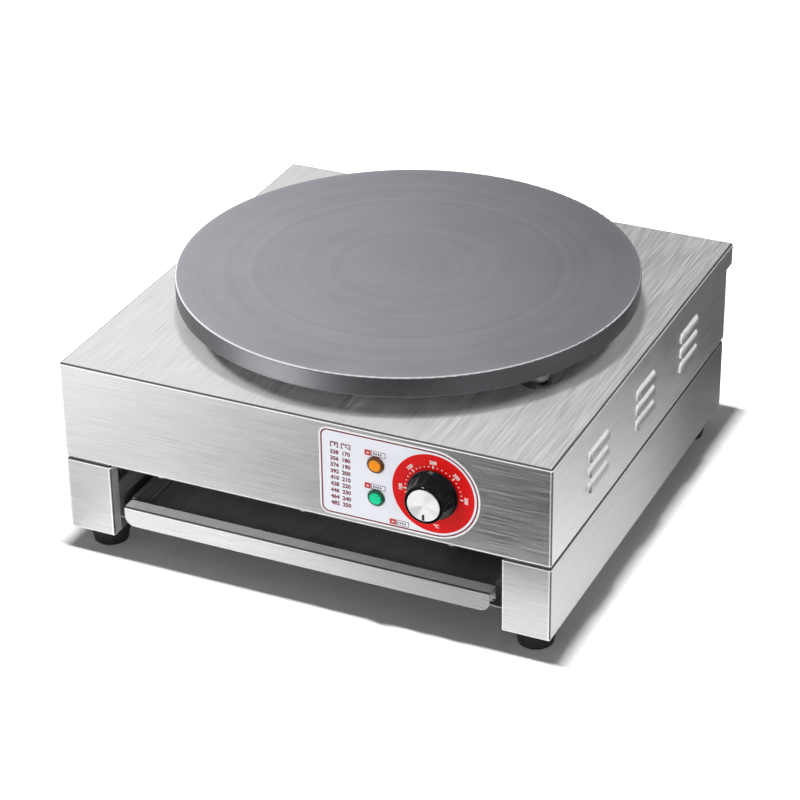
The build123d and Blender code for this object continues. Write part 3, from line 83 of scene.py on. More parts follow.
class Value:
    """One output in a finish. An arithmetic operator on it adds the Math node that does the sum."""

    def __init__(self, finish, socket):
        self.finish, self.socket = finish, socket

    def math(self, operation, *values):
        return self.finish.node("Math", {"operation": operation}, dict(enumerate(values)))

    def __add__(self, other):
        return self.math("ADD", self, other)

    def __radd__(self, other):
        return self.math("ADD", other, self)

    def __sub__(self, other):
        return self.math("SUBTRACT", self, other)

    def __rsub__(self, other):
        return self.math("SUBTRACT", other, self)

    def __mul__(self, other):
        return self.math("MULTIPLY", self, other)

    def __rmul__(self, other):
        return self.math("MULTIPLY", other, self)

    def __lt__(self, other):
        return self.math("LESS_THAN", self, other)

    def apply(self, operation, *others):
        """Any other operation of the Math node, such as SQRT or MAXIMUM."""
        return self.math(operation, self, *others)

    def rise(self, low, high, to_low=0.0, to_high=1.0):
        """Goes smoothly from to_low to to_high as the value goes from low to high."""
        sockets = {
            "Value": self,
            "From Min": low,
            "From Max": high,
            "To Min": to_low,
            "To Max": to_high,
        }
        return self.finish.node("MapRange", {"interpolation_type": "SMOOTHSTEP"}, sockets)


class Nodes:
    """The nodes of a finish or of the room, and the one way that a node is added to them."""

    def __init__(self, tree):
        self.tree = tree

    def put(self, socket, value):
        """Links an output to a socket, or sets the socket to a plain number, colour or vector."""
        if isinstance(value, Value):
            self.tree.links.new(value.socket, socket)
        elif socket.type == "RGBA" and len(value) == 3:
            socket.default_value = (*value, 1.0)
        else:
            socket.default_value = value

    def node(self, kind, settings=None, sockets=None, out=0):
        """Adds a node, its settings first and then its sockets, and gives its outputs."""
        made = self.tree.nodes.new("ShaderNode" + kind)
        for name, setting in (settings or {}).items():
            setattr(made, name, setting)
        for name, value in (sockets or {}).items():
            self.put(made.inputs[name], value)
        if isinstance(out, tuple):
            return tuple(Value(self, made.outputs[number]) for number in out)
        return Value(self, made.outputs[out])


class Finish(Nodes):
    """A surface finish: a material, its main shader, and what its patterns are made from."""

    def __init__(self, name, **surface):
        self.material = bpy.data.materials.new(name)
        self.material.use_nodes = True
        super().__init__(self.material.node_tree)
        self.shader = self.tree.nodes["Principled BSDF"]
        self.set(**surface)

    def set(self, **surface):
        """Sets or links the main shader's sockets: Base_Color=... is its Base Color."""
        for name, value in surface.items():
            self.put(self.shader.inputs[name.replace("_", " ")], value)

    def shine(self, colour, strength=1.0):
        """A glow of its own, for the studio's paper and cards."""
        return self.node("Emission", None, {"Color": colour, "Strength": strength})

    def show(self, shader):
        """Puts another shader, or a sum of two, in the main one's place."""
        self.put(self.tree.nodes["Material Output"].inputs["Surface"], shader)

    def place(self):
        """The point on the piece, in metres, as x, y and z."""
        here = self.node("TexCoord", out=3)
        return self.node("SeparateXYZ", None, {0: here}, out=(0, 1, 2))

    def facing(self):
        """The way the surface faces, as the sizes of its x, y and z parts."""
        normal = self.node("TexCoord", out=1)
        parts = self.node("SeparateXYZ", None, {0: normal}, out=(0, 1, 2))
        return tuple(part.apply("ABSOLUTE") for part in parts)

    def point(self, x, y, z):
        """Three values as one place to look a pattern up at."""
        return self.node("CombineXYZ", None, {0: x, 1: y, 2: z})

    def noise(self, at, scale=1.0, detail=2.0, roughness=0.5):
        """Soft noise from 0 to 1 about 0.5."""
        sockets = {"Vector": at, "Scale": scale, "Detail": detail, "Roughness": roughness}
        return self.node("TexNoise", None, sockets)

    def mix(self, factor, first, second):
        """One colour into another, as the factor goes from 0 to 1."""
        return self.node("Mix", {"data_type": "RGBA"}, {0: factor, 6: first, 7: second}, out=2)

    def tint(self, colour, amount):
        """A colour made lighter or darker by an amount about 1."""
        return self.node("VectorMath", {"operation": "SCALE"}, {0: colour, "Scale": amount})

    def bump(self, height, depth, strength=1.0):
        """A relief: height from 0 to 1 stands for that depth in metres."""
        sockets = {"Strength": strength, "Distance": depth, "Height": height}
        return self.node("Bump", None, sockets)


def stand(name, vertices, faces, finish, smooth=True):
    """Puts a mesh of points and faces into the scene, with its finish, its object at the origin."""
    mesh = bpy.data.meshes.new(name)
    mesh.from_pydata(np.asarray(vertices).reshape(-1, 3).tolist(), [], faces)
    mesh.materials.append(finish.material)
    if smooth:
        mesh.shade_smooth()
    piece = bpy.data.objects.new(name, mesh)
    bpy.context.scene.collection.objects.link(piece)
    return piece


paper_half = 12.0
reflected = 0.85
half_width, half_depth = 0.225, 0.212
square = np.array([(-1, -1, 0), (1, -1, 0), (1, 1, 0), (-1, 1, 0)])

# Only what looks at the paper sees it glow, so it lights nothing: a camera, glass, and the steel,
# which sees it a little dimmer. The glow fades out under the machine, where its shadow is to fall.
paper = Finish("white_paper", Base_Color=(0.92, 0.92, 0.92), Roughness=0.9, Specular_IOR_Level=0.1)
camera_ray, glossy_ray, clear_ray = paper.node("LightPath", out=(0, 3, 6))
seen = camera_ray.apply("MAXIMUM", glossy_ray * reflected).apply("MAXIMUM", clear_ray)
x, y = paper.place()[:2]
from_machine = (x.apply("ABSOLUTE") - half_width).apply("MAXIMUM", y.apply("ABSOLUTE") - half_depth)
glow = from_machine.rise(0.03, 0.20, 0.045, 0.45) + from_machine.rise(0.2, 1.0, 0.0, 0.55)
paper_glow = paper.shine((1, 1, 1), seen * glow)
paper.show(paper.node("AddShader", None, {0: Value(paper, paper.shader.outputs[0]), 1: paper_glow}))
floor = stand("studio_floor", square * paper_half, [[0, 1, 2, 3]], paper)

# ---- Studio light -------------------------------------------------------------------------
# One small soft box overhead lights only the floor and gives the short shadow. Three others, kept
# off the floor, light the machine, and graduated cards give its steel something to reflect.


def soft_box(name, place, aim_at, width, height, power):
    """A rectangular lamp that stands at a place and is turned towards a point."""
    light = bpy.data.lights.new(name, "AREA")
    light.shape = "RECTANGLE"
    light.size, light.size_y = width, height
    light.energy = power
    lamp = bpy.data.objects.new(name, light)
    turn = (Vector(place) - Vector(aim_at)).to_track_quat("Z", "Y")
    lamp.matrix_world = Matrix.Translation(place) @ turn.to_matrix().to_4x4()
    bpy.context.scene.collection.objects.link(lamp)
    return lamp


def group_of(name, *members, left_out=False):
    """A group for a lamp: all that it reaches or that shades it, or all but these, left out."""
    group = bpy.data.collections.new(name)
    for member in members:
        group.objects.link(member)
    for member in group.collection_objects:
        member.light_linking.link_state = "EXCLUDE" if left_out else "INCLUDE"
    return group


floor_middle, body_middle = (0.0, 0.0, 0.0), (0.0, 0.0, 0.1)
floor_light = soft_box("floor_light", (-0.02, -0.19, 3.6), floor_middle, 0.34, 0.10, power=149.0)
top_light = soft_box("top_light", (-0.15, 0.15, 2.3), body_middle, 0.3, 0.3, power=50.0)
left_fill = soft_box("left_fill", (-1.2, -2.2, 1.5), body_middle, 1.0, 1.0, power=28.0)
right_fill = soft_box("right_fill", (2.0, -1.6, 1.1), body_middle, 0.8, 0.8, power=8.0)
top_light.visible_glossy = left_fill.visible_glossy = False
floor_light.light_linking.receiver_collection = group_of("only_the_floor", floor)
off_floor = group_of("kept_off_the_floor", floor, left_out=True)
for lamp in (top_light, left_fill, right_fill):
    lamp.light_linking.receiver_collection = off_floor

# A small lamp shines into the bay, past everything, on what would be lost in its shade
bay_light = soft_box("bay_light", (1.9, -1.0, 0.45), (-0.17, -0.15, 0.05), 0.3, 0.3, power=24.0)
bay_pieces = [nodes[name] for name in ("left_leg_frame", "left_tray_rail", "tray_pan")]
in_bay = group_of("in_the_bay", *bay_pieces)
bay_light.light_linking.receiver_collection = in_bay
bay_light.light_linking.blocker_collection = in_bay


def hide_but_from_steel(piece):
    """Leaves a staged piece to be seen in reflections alone."""
    piece.visible_camera = piece.visible_diffuse = piece.visible_shadow = False


def graduated_card(name, corners, axis, bright_at, dark_at, bright, dark):
    """A flat card, shaded evenly from bright to dark. How far along the shading a point is, is its
    place times the axis, part by part, added up."""
    paint = Finish(name)
    x, y, z = paint.place()
    along = x * axis[0] + y * axis[1] + z * axis[2]
    sockets = {"Value": along, "From Min": bright_at, "From Max": dark_at}
    shade = paint.node("MapRange", None, sockets)
    paint.show(paint.shine(paint.mix(shade, (bright, bright, bright), (dark, dark, dark))))
    card = stand(name, corners, [[0, 1, 2, 3]], paint)
    card.visible_transmission = False
    hide_but_from_steel(card)


def lying(left, right, front, back, level=4.0 * mm):
    """The corners of a card that lies just above the floor."""
    return [(left, front, level), (right, front, level), (right, back, level), (left, back, level)]


def standing(left, right, y, low, high):
    """The corners of a card that stands across the machine."""
    return [(left, y, low), (right, y, low), (right, y, high), (left, y, high)]


rightwards, backwards, rightwards_down = (1, 0, 0), (0, 1, 0), (1, 0, -0.4)
for name, corners, axis, bright_at, dark_at, bright, dark in (
    ("front_card", lying(-0.9, 0.9, -1.3, -0.31), rightwards, -0.38, 0.06, 1.15, 0.0),
    ("side_card", lying(0.23, 0.9, -0.4, 1.2), backwards, -0.18, 0.34, 1.25, 0.06),
    ("left_card", lying(-0.9, -0.23, -0.4, 0.24), backwards, -0.3, 0.24, 0.80, 0.30),
    ("rear_card", lying(-0.9, 0.22, 0.25, 1.2), rightwards, 0.2, -0.5, 0.75, 0.30),
    ("back_card", standing(-1.0, 0.38, 0.42, 0.1, 1.4), rightwards_down, -0.66, -0.12, 1.34, 0.32),
):
    graduated_card(name, corners, axis, bright_at, dark_at, bright, dark)

# Painted shade: a flat black drum under the plate, seen only in the steel's reflections, darkens
# the deck below the plate, standing in for the shade of its real gap
drum_x, drum_y, drum_radius, drum_low, drum_high, sides = 0.007, -0.009, 0.180, 0.1803, 0.1850, 64
black = Finish("flag", Base_Color=(0.01, 0.01, 0.01), Roughness=0.9)
turn = np.linspace(0.0, 2 * pi, sides, endpoint=False)
ring = np.column_stack((drum_x + drum_radius * np.cos(turn), drum_radius * np.sin(turn) + drum_y))
rims = [np.column_stack((ring, np.full(sides, level))) for level in (drum_low, drum_high)]
drum_faces = [[i, (i + 1) % sides, (i + 1) % sides + sides, i + sides] for i in range(sides)]
drum_faces.append(list(range(sides, 2 * sides)))
hide_but_from_steel(stand("deck_shade_drum", np.vstack(rims), drum_faces, black))

# The room is white to the camera, nearly as white to the steel, and dim to everything else
dim = 0.12
room = bpy.data.worlds.new("studio_room")
room.use_nodes = True
bpy.context.scene.world = room
air = Nodes(room.node_tree)
camera_ray, glossy_ray = air.node("LightPath", out=(0, 3))
backdrop = air.tree.nodes["Background"]
air.put(backdrop.inputs["Color"], (1.0, 1.0, 1.0))
air.put(backdrop.inputs["Strength"], dim + (camera_ray + glossy_ray * reflected) * (1.0 - dim))

# ---- Folded stainless steel: housing, base and rails --------------------------------------
# The casing is satin sheet, brushed on a belt before it is folded: across the machine on what
# faces front or back, from front to back on the deck, the sides and the base.


side_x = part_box("right_leg_frame")[1].x


def brushed_steel(name, tone, roughness, grain=1.0, metal=0.90, level=0.80, painted_right_end_shade=0.0, painted_rear_shade=0.0):
    """Satin sheet: streaks of three widths along the brushing, in colour, gloss and relief. Each
    bend has a painted shade line where it begins and a painted highlight along its outer half,
    and the louvres' hoods have painted highlights along their crests and lips and painted shade on
    their ends. facing_z goes from 0 on a wall to 1 on the deck, so a range of it is a strip along a
    bend. level paints what faces up darker or lighter. The last two arguments paint shade: one
    darkens the right-hand end, the other the sides towards the back."""
    steel = Finish(name)
    x, y, z = steel.place()
    facing_x, facing_y, facing_z = steel.facing()
    turned_front = facing_y.rise(0.6, 0.8)
    along = y + (x - y) * turned_front
    across = x + z + (y - x) * turned_front
    # The noises are stretched along the brushing: waves per metre along it, then across it
    hair = steel.noise(steel.point(along * 30.0, across * 2400.0, z * 3.0), detail=0.0)
    lines = steel.noise(steel.point(along * 20.0, across * 1350.0, 5.0), detail=0.0)
    bands = steel.noise(steel.point(along * 3.0, across * 110.0, 9.0), detail=2.0)
    marks = steel.noise(steel.point(x * 9.0, y * 9.0, z * 9.0), detail=3.0)
    # What faces up is scoured rougher, and is also painted darker or lighter by level
    scoured_and_painted_top_tone = facing_z.rise(0.90, 0.98)
    streaks = (hair * 0.48 + lines * 0.50 + bands * 0.02 - 0.5) * grain
    # The louvres' hoods are all that stands out past the leg frames' sides
    hood = x.apply("ABSOLUTE").rise(side_x + 0.5 * mm, side_x + 1.5 * mm)
    upright = (facing_z < 0.1) * (1.0 - hood)
    # Painted shade: a dark line where each bend begins, and on the ends of the louvres' hoods
    tarnish_and_painted_shade = facing_z.rise(0.47, 0.55) * (1.0 - facing_z.rise(0.990, 0.999)) * (1.0 - hood)
    painted_shade_side = facing_x.rise(0.50, 0.60) * (1.0 - facing_x.rise(0.990, 0.999)) * upright
    painted_shade_hood_end = hood * facing_y.rise(0.10, 0.45) * 0.8
    # Painted highlights: a light line along each hood's lower lip and crest, and along each bend's
    # outer half
    painted_lip_highlight = (1.0 - facing_z.rise(0.03, 0.08)) * 0.8
    painted_crest_highlight = hood * facing_z.rise(0.33, 0.44).apply("MAXIMUM", painted_lip_highlight) * (1.0 - painted_shade_hood_end)
    bright = facing_z.rise(0.04, 0.14) * (1.0 - facing_z.rise(0.43, 0.50)) * (1.0 - hood)
    painted_highlight_side = facing_x.rise(0.04, 0.14) * (1.0 - facing_x.rise(0.46, 0.54)) * upright
    tarnish_and_painted_shade = tarnish_and_painted_shade.apply("MAXIMUM", painted_shade_side).apply("MAXIMUM", painted_shade_hood_end)
    bright = bright.apply("MAXIMUM", painted_highlight_side).apply("MAXIMUM", painted_crest_highlight * 1.6)
    # The painted shade and highlights go into the colour, what faces up is painted by level, and
    # the next line paints the right-hand end and the sides' back darker
    shade = (1.0 - tarnish_and_painted_shade * 0.84 + bright * 0.45) * (1.0 - scoured_and_painted_top_tone * (1.0 - level))
    shade = shade * (1.0 - x.rise(-0.10, 0.16) * painted_right_end_shade) * (1.0 - y.rise(-0.05, 0.16) * painted_rear_shade)
    steel.set(
        Base_Color=steel.tint(tone, (1.0 + streaks * 0.5) * shade),
        Roughness=roughness + scoured_and_painted_top_tone * 0.14 + streaks * 0.20 + (marks - 0.5) * 0.06,
        Metallic=metal - scoured_and_painted_top_tone * 0.30 - bright * 0.35 - streaks * (scoured_and_painted_top_tone * 0.9 + 0.6),
        Normal=steel.bump(hair * 0.5 + lines * 0.5, 0.00005 * grain, 0.6),
    )
    return steel


def dress(finish, *names):
    """Gives CAD nodes their finish in place of the plain one."""
    for name in names:
        nodes[name].data.materials.clear()
        nodes[name].data.materials.append(finish.material)


# The casing's deck is painted a little darker than its walls (level below 1)
casing_steel = brushed_steel("casing_steel", (0.77, 0.77, 0.77), 0.32, level=0.77)
dress(casing_steel, "upper_housing", "rear_panel")
# The leg frames' sides are painted darker towards the back
leg_steel = brushed_steel("leg_steel", (0.64, 0.64, 0.64), 0.34, grain=1.2, metal=0.75, painted_rear_shade=0.55)
dress(leg_steel, "left_leg_frame", "right_leg_frame", "rear_skirt")
rail_steel = brushed_steel("rail_steel", (0.34, 0.34, 0.35), 0.42)
dress(rail_steel, "left_tray_rail", "right_tray_rail", "chassis_floor", "deck_stiffeners")

# ---- Griddle plate ------------------------------------------------------------------------
# A cast iron disc, faced on a lathe: fine rings on top, a painted highlight along the rim's rounded
# top edge and a fainter one along its lower edge, and a grainy cast side. Use has seasoned it in
# soft patches.

plate_low, plate_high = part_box("griddle_plate")
plate_middle = (plate_low + plate_high) / 2
plate_radius = (plate_high.x - plate_low.x) / 2

iron = Finish("griddle_iron", Metallic=0.75)
x, y, z = iron.place()
out_x, out_y = x - plate_middle.x, y - plate_middle.y
reach = (out_x * out_x + out_y * out_y).apply("SQRT")
on_top = iron.facing()[2].rise(0.7, 0.95)
ring_bend = iron.noise(iron.point(x * 3.0, y * 3.0, 0.0)) * 0.6
rings = iron.noise(iron.point(reach * 900.0, ring_bend, 0.0), detail=2.0)
ring_bands = iron.noise(iron.point(reach * 120.0, ring_bend, 4.0), detail=1.0)
grit = iron.noise(iron.point(x, y, z), 1900.0, detail=2.0)
seasoning = iron.noise(iron.point(x, y, z), 11.0, detail=4.0, roughness=0.6)
# Painted highlights: a light line along the rim's rounded top edge and a fainter one along its
# lower edge
upper_rim_highlight = reach.rise(plate_radius - 1.6 * mm, plate_radius - 0.9 * mm) * z.rise(
    plate_high.z - 1.2 * mm, plate_high.z - 0.5 * mm
)
lower_rim_highlight = 1.0 - z.rise(plate_low.z + 0.2 * mm, plate_low.z + 1.1 * mm)
edge = upper_rim_highlight.apply("MAXIMUM", lower_rim_highlight * 0.45)
top_tone = (rings - 0.5) * 0.30 + (ring_bands - 0.5) * 0.22 + (seasoning - 0.5) * 0.35
side_tone = (grit - 0.5) * 0.9 + (seasoning - 0.5) * 0.3
bare_iron = iron.mix(on_top, (0.085, 0.085, 0.092), (0.26, 0.26, 0.29))
iron_colour = iron.tint(bare_iron, 1.0 + side_tone + (top_tone - side_tone) * on_top)
# edge carries the rims' painted highlights into the colour, and their polish into the roughness
iron.set(
    Base_Color=iron.mix(edge, iron_colour, (0.85, 0.85, 0.87)),
    Roughness=0.42 - 0.04 * on_top + (rings - 0.5) * 0.12 - edge * 0.22,
    Normal=iron.bump(grit + (rings - grit) * on_top, 0.00008, 0.5),
)
dress(iron, "griddle_plate")
nodes["griddle_plate"].visible_glossy = False

# The cast side turns its back to the lamps above, so a low one from the front left is for it alone
rim_light = soft_box("rim_light", (-1.40, -1.56, -0.95), (0.0, 0.0, 0.2), 0.7, 0.6, power=52.0)
only_plate = group_of("only_the_plate", nodes["griddle_plate"])
rim_light.light_linking.receiver_collection = only_plate
rim_light.light_linking.blocker_collection = only_plate

# ---- Standoffs and the heat shield under the plate ----------------------------------------
# Plain turned steel spacers on the plate's studs, and a pressed pan that closes the pocket with
# the elements. Heat has given the pan a faint straw tint, and the spacers are a dark grey.

shield_steel = brushed_steel("shield_steel", (0.42, 0.40, 0.38), 0.45)
dress(shield_steel, "heat_shield", "clamp_bars", "bulb_clip")
spacer_steel = Finish("spacer_steel", Metallic=1.0)
x, y, z = spacer_steel.place()
turning = spacer_steel.noise(spacer_steel.point(x * 6.0, y * 6.0, z * 2400.0), detail=2.0)
spacer_steel.set(
    Base_Color=spacer_steel.tint((0.26, 0.26, 0.26), 0.8 + turning * 0.4),
    Roughness=0.30 + turning * 0.15,
    Normal=spacer_steel.bump(turning, 0.00005, 0.6),
)
dress(spacer_steel, "plate_standoffs", "thermostat_spindle")

# ---- Control label ------------------------------------------------------------------------
# A printed plastic overlay stuck to the front: white, with a dark red keyline, a red dial under
# the knob and a table of temperatures. The numerals are printed last, as thin films of ink.

label_low, label_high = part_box("control_label")
knob_low, knob_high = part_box("knob")
dial_x = (knob_low.x + knob_high.x) / 2
dial_z = (knob_low.z + knob_high.z) / 2
label_round = (label_high.z - label_low.z) / 2
label_corner = 8.0 * mm
keyline_inset = 2.2 * mm
keyline_half = 0.65 * mm
dial_radius = 35.8 * mm
ink_red = (0.20, 0.004, 0.014)

film = Finish("label_film", Roughness=0.50, Specular_IOR_Level=0.16)
x, y, z = film.place()
from_x, from_z = x - dial_x, z - dial_z
from_dial = (from_x * from_x + from_z * from_z).apply("SQRT")
corner_x = (label_low.x + label_corner) - x
corner_z = from_z.apply("ABSOLUTE") - (label_round - label_corner)
past_x, past_z = corner_x.apply("MAXIMUM", 0.0), corner_z.apply("MAXIMUM", 0.0)
corner_reach = (past_x * past_x + past_z * past_z).apply("SQRT")
inner_reach = corner_x.apply("MAXIMUM", corner_z).apply("MINIMUM", 0.0)
inside_left = label_corner - corner_reach - inner_reach
on_left = x < dial_x
inside = (label_round - from_dial) * (1.0 - on_left) + inside_left * on_left
soft = 0.10 * mm
from_keyline = (inside - keyline_inset).apply("ABSOLUTE")
keyline = 1.0 - from_keyline.rise(keyline_half - soft, keyline_half + soft)
dial = 1.0 - from_dial.rise(dial_radius - soft, dial_radius + soft)
within = inside.rise(keyline_inset - soft, keyline_inset + soft)
ground = film.mix(within, (0.96, 0.96, 0.97), (0.89, 0.90, 0.97))
ink = film.noise(film.point(x, y, z), 420.0, detail=3.0)
red = film.tint((0.80, 0.004, 0.004), 0.94 + ink * 0.12)
film.set(
    Base_Color=film.mix(keyline, film.mix(dial, ground, red), ink_red),
    Normal=film.bump(ink, 0.00002, 0.4),
)
dress(film, "control_label")
nodes["control_label"].visible_glossy = False

ink_half = 0.02 * mm
size_for_height, boldness = 1.43, 0.062


def flat_text(words, height, x, z, turn=0.0):
    """Numerals as a thin closed film on the label, centred at x and z, turned anticlockwise. Its
    faces and its edge are joined, and all of them face outwards."""
    curve = bpy.data.curves.new("ink", "FONT")
    curve.body = words
    curve.size = height * size_for_height
    curve.align_x, curve.align_y = "CENTER", "CENTER"
    curve.extrude = ink_half
    curve.offset = height * boldness
    curve.resolution_u = 3
    carrier = bpy.data.objects.new("ink", curve)
    bpy.context.scene.collection.objects.link(carrier)
    finished = carrier.evaluated_get(bpy.context.evaluated_depsgraph_get())
    shape = bpy.data.meshes.new_from_object(finished)
    joined = bmesh.new()
    joined.from_mesh(shape)
    bmesh.ops.remove_doubles(joined, verts=joined.verts, dist=0.0001 * mm)
    bmesh.ops.recalc_face_normals(joined, faces=joined.faces)
    joined.to_mesh(shape)
    joined.free()
    points = np.zeros(len(shape.vertices) * 3)
    shape.vertices.foreach_get("co", points)
    faces = [list(polygon.vertices) for polygon in shape.polygons]
    bpy.data.objects.remove(carrier)
    return on_label(points.reshape(-1, 3), x, z, turn), faces


def on_label(points, x, z, turn=0.0):
    """Flat artwork in its own plane, turned and laid on the front of the label."""
    a, b, out = points.T
    across, up = a * cos(turn) - b * sin(turn), a * sin(turn) + b * cos(turn)
    return np.column_stack((x + across, label_low.y - ink_half - out, z + up))


def flat_bar(width, height, x, z, turn=0.0):
    """A rectangle of ink, as a thin closed slab."""
    half = square[:, :2] * (width / 2, height / 2)
    points = np.vstack([np.column_stack((half, np.full(4, out))) for out in (-ink_half, ink_half)])
    faces = [[3, 2, 1, 0], [4, 5, 6, 7], [0, 1, 5, 4], [1, 2, 6, 5], [2, 3, 7, 6], [3, 0, 4, 7]]
    return on_label(points, x, z, turn), faces


def print_on(name, artwork, colour):
    """Joins pieces of artwork into one printed layer with its own ink."""
    points, faces, count = [], [], 0
    for some_points, some_faces in artwork:
        points.append(some_points)
        faces += [[count + index for index in face] for face in some_faces]
        count += len(some_points)
    ink_finish = Finish(name, Roughness=0.42)
    speck = ink_finish.noise(ink_finish.node("TexCoord", out=3), 900.0, detail=2.0)
    ink_finish.set(Base_Color=ink_finish.tint(colour, 0.90 + speck * 0.2))
    layer = stand(name, np.vstack(points), faces, ink_finish, smooth=False)
    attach(layer, "housing")


seam_z = label_low.z - 4.5 * mm
left_edge = label_low.x - 19.5 * mm
table_columns = {"°F": 33.2 * mm, "°C": 43.5 * mm}
heading_z, table_top, table_pitch = seam_z + 71.0 * mm, 63.5 * mm, 5.96 * mm
numeral = 3.5 * mm
table = []
for unit, column in table_columns.items():
    table.append(flat_text(f"[{unit}]", numeral, left_edge + column, heading_z))
    for row, celsius in enumerate(range(170, 251, 10)):
        shown = celsius if unit == "°C" else round(celsius * 9 / 5 + 32)
        place = seam_z + table_top - row * table_pitch
        table.append(flat_text(str(shown), numeral, left_edge + column, place))

# Wordless tags: a red square with a pale mark, beside an outlined box with a row of dashes
tags, dashes, marks = [], [], []
tag_width, tag_height, line = 5.4 * mm, 5.0 * mm, 0.50 * mm
mark_width, mark_height, mark_off = 2.2 * mm, 1.3 * mm, 0.1 * mm
dash_width, dash_pitch, dash_heights = 1.25 * mm, 2.1 * mm, (1.9 * mm, 1.65 * mm)
tag_places = [(60.5, 70.0, 12.8), (60.0, 39.3, 12.8), (81.8, 10.6, 11.2)]
for tag_left, tag_middle, box_width in (np.array(tag_places) * mm).tolist():
    square_x = left_edge + tag_left + 2.4 * mm
    tag_z = seam_z + tag_middle
    box_x = square_x + 2.9 * mm + box_width / 2
    tags.append(flat_bar(tag_width, tag_height, square_x, tag_z))
    marks.append(flat_bar(mark_width, mark_height, square_x + mark_off, tag_z - mark_off))
    for side in (-1, 1):
        table.append(flat_bar(box_width, line, box_x, tag_z + side * (tag_height - line) / 2))
        table.append(flat_bar(line, tag_height, box_x + side * (box_width - line) / 2, tag_z))
    for step in range(4):
        dash_x = box_x + (step - 1.9) * dash_pitch
        dashes.append(flat_bar(dash_width, dash_heights[step % 2], dash_x, tag_z))
print_on("label_table", table, ink_red)
print_on("label_tags", tags, (0.62, 0.006, 0.012))
print_on("tag_dashes", dashes, (0.05, 0.045, 0.05))

# The dial: 100 to 300 over half a turn, with a bar at each fifty and a dot at each ten
scale = []
bar_radius, bar_width, bar_length, dot = 24.6 * mm, 1.2 * mm, 2.8 * mm, 1.0 * mm
numeral_radius, dial_numeral, degree_per_celsius = 28.4 * mm, 2.9 * mm, 0.9
for celsius in range(90, 301, 10):
    turn = radians(180.0 - (celsius - 100) * degree_per_celsius)
    across = turn - pi / 2
    bar_x, bar_z = dial_x + bar_radius * cos(turn), dial_z + bar_radius * sin(turn)
    if celsius % 50:
        scale.append(flat_bar(dot, dot, bar_x, bar_z, across))
    else:
        text_x, text_z = dial_x + numeral_radius * cos(turn), dial_z + numeral_radius * sin(turn)
        scale.append(flat_bar(bar_width, bar_length, bar_x, bar_z, across))
        scale.append(flat_text(str(celsius), dial_numeral, text_x, text_z, across))
unit_height, unit_x, unit_z = 3.0 * mm, dial_x + 2.4 * mm, dial_z - 29.6 * mm
scale.append(flat_text("°C", unit_height, unit_x, unit_z))
over_tags = (0.0, 0.03 * mm, 0.0)
scale += [(points - over_tags, faces) for points, faces in marks]
print_on("dial_scale", scale, (0.92, 0.90, 0.88))

# ---- Pilot lamps --------------------------------------------------------------------------
# Two moulded lenses, amber over green, each a flanged cap whose face is cast in little facets that
# spread the light of the neon behind it.


def turned(profile, centre, sides, lobes=None):
    """A surface of revolution about an axis along Y. profile is (radius, y) pairs from back to
    front; lobes(angle, radius, y) may change the radius and the depth over the whole grid."""
    radius, depth = np.array(profile).T
    angle = np.linspace(0.0, 2 * pi, sides, endpoint=False)
    r, a = np.meshgrid(radius, angle, indexing="ij")
    y = np.repeat(depth[:, None], sides, axis=1)
    if lobes:
        r, y = lobes(a, r, y)
    points = np.stack((centre[0] + r * np.cos(a), y, centre[1] + r * np.sin(a)), axis=-1)
    rows = len(radius)
    first = np.arange(rows * sides).reshape(rows, sides)
    across = np.roll(first, -1, axis=1)
    faces = np.stack((first[:-1], across[:-1], across[1:], first[1:]), axis=-1)
    faces = faces.reshape(-1, 4).tolist()
    faces.append(first[0][::-1].tolist())
    faces.append(first[-1].tolist())
    return points.reshape(-1, 3), faces


def rounded(points, radius, steps=4):
    """A profile with its inner corners rounded: each corner becomes a short arc of points."""
    points = [np.array(point, float) for point in points]
    path = [points[0]]
    for before, corner, after in zip(points, points[1:], points[2:]):
        back, onward = np.linalg.norm(before - corner), np.linalg.norm(after - corner)
        size = min(radius, 0.45 * back, 0.45 * onward)
        start = corner + (before - corner) / back * size
        end = corner + (after - corner) / onward * size
        for t in np.linspace(0.0, 1.0, steps):
            path.append((1 - t) ** 2 * start + 2 * t * (1 - t) * corner + t**2 * end)
    path.append(points[-1])
    return path


def lens_finish(name, colour, middle, wide, face_y):
    """Tinted plastic: nearly black in its thick wall, bright where the neon shines through the
    face, which is cast in little facets."""
    plastic = Finish(name, Roughness=0.12, Specular_IOR_Level=0.5)
    x, y, z = plastic.place()
    off_x, off_z = x - middle[0], z - middle[1]
    reach = (off_x * off_x + off_z * off_z).apply("SQRT")
    settings = {"feature": "F1", "voronoi_dimensions": "2D"}
    sockets = {"Vector": plastic.point(off_x, off_z, 0.0), "Scale": 620.0}
    facet = plastic.node("TexVoronoi", settings, sockets)
    cloud = plastic.noise(plastic.point(x, y, z), 260.0, detail=3.0)
    rim = reach.rise(wide - 2.7 * mm, wide - 2.1 * mm)
    wall = rim.apply("MAXIMUM", y.rise(face_y, face_y + 0.9 * mm))
    tone = (1.05 - facet * 0.55 + (cloud - 0.5) * 0.4) * (1.0 - wall * 0.88)
    plastic.set(Base_Color=plastic.tint(colour, tone), Emission_Color=plastic.tint(colour, tone))
    plastic.set(Emission_Strength=0.38, Normal=plastic.bump(facet, 0.0003, 0.7))
    return plastic


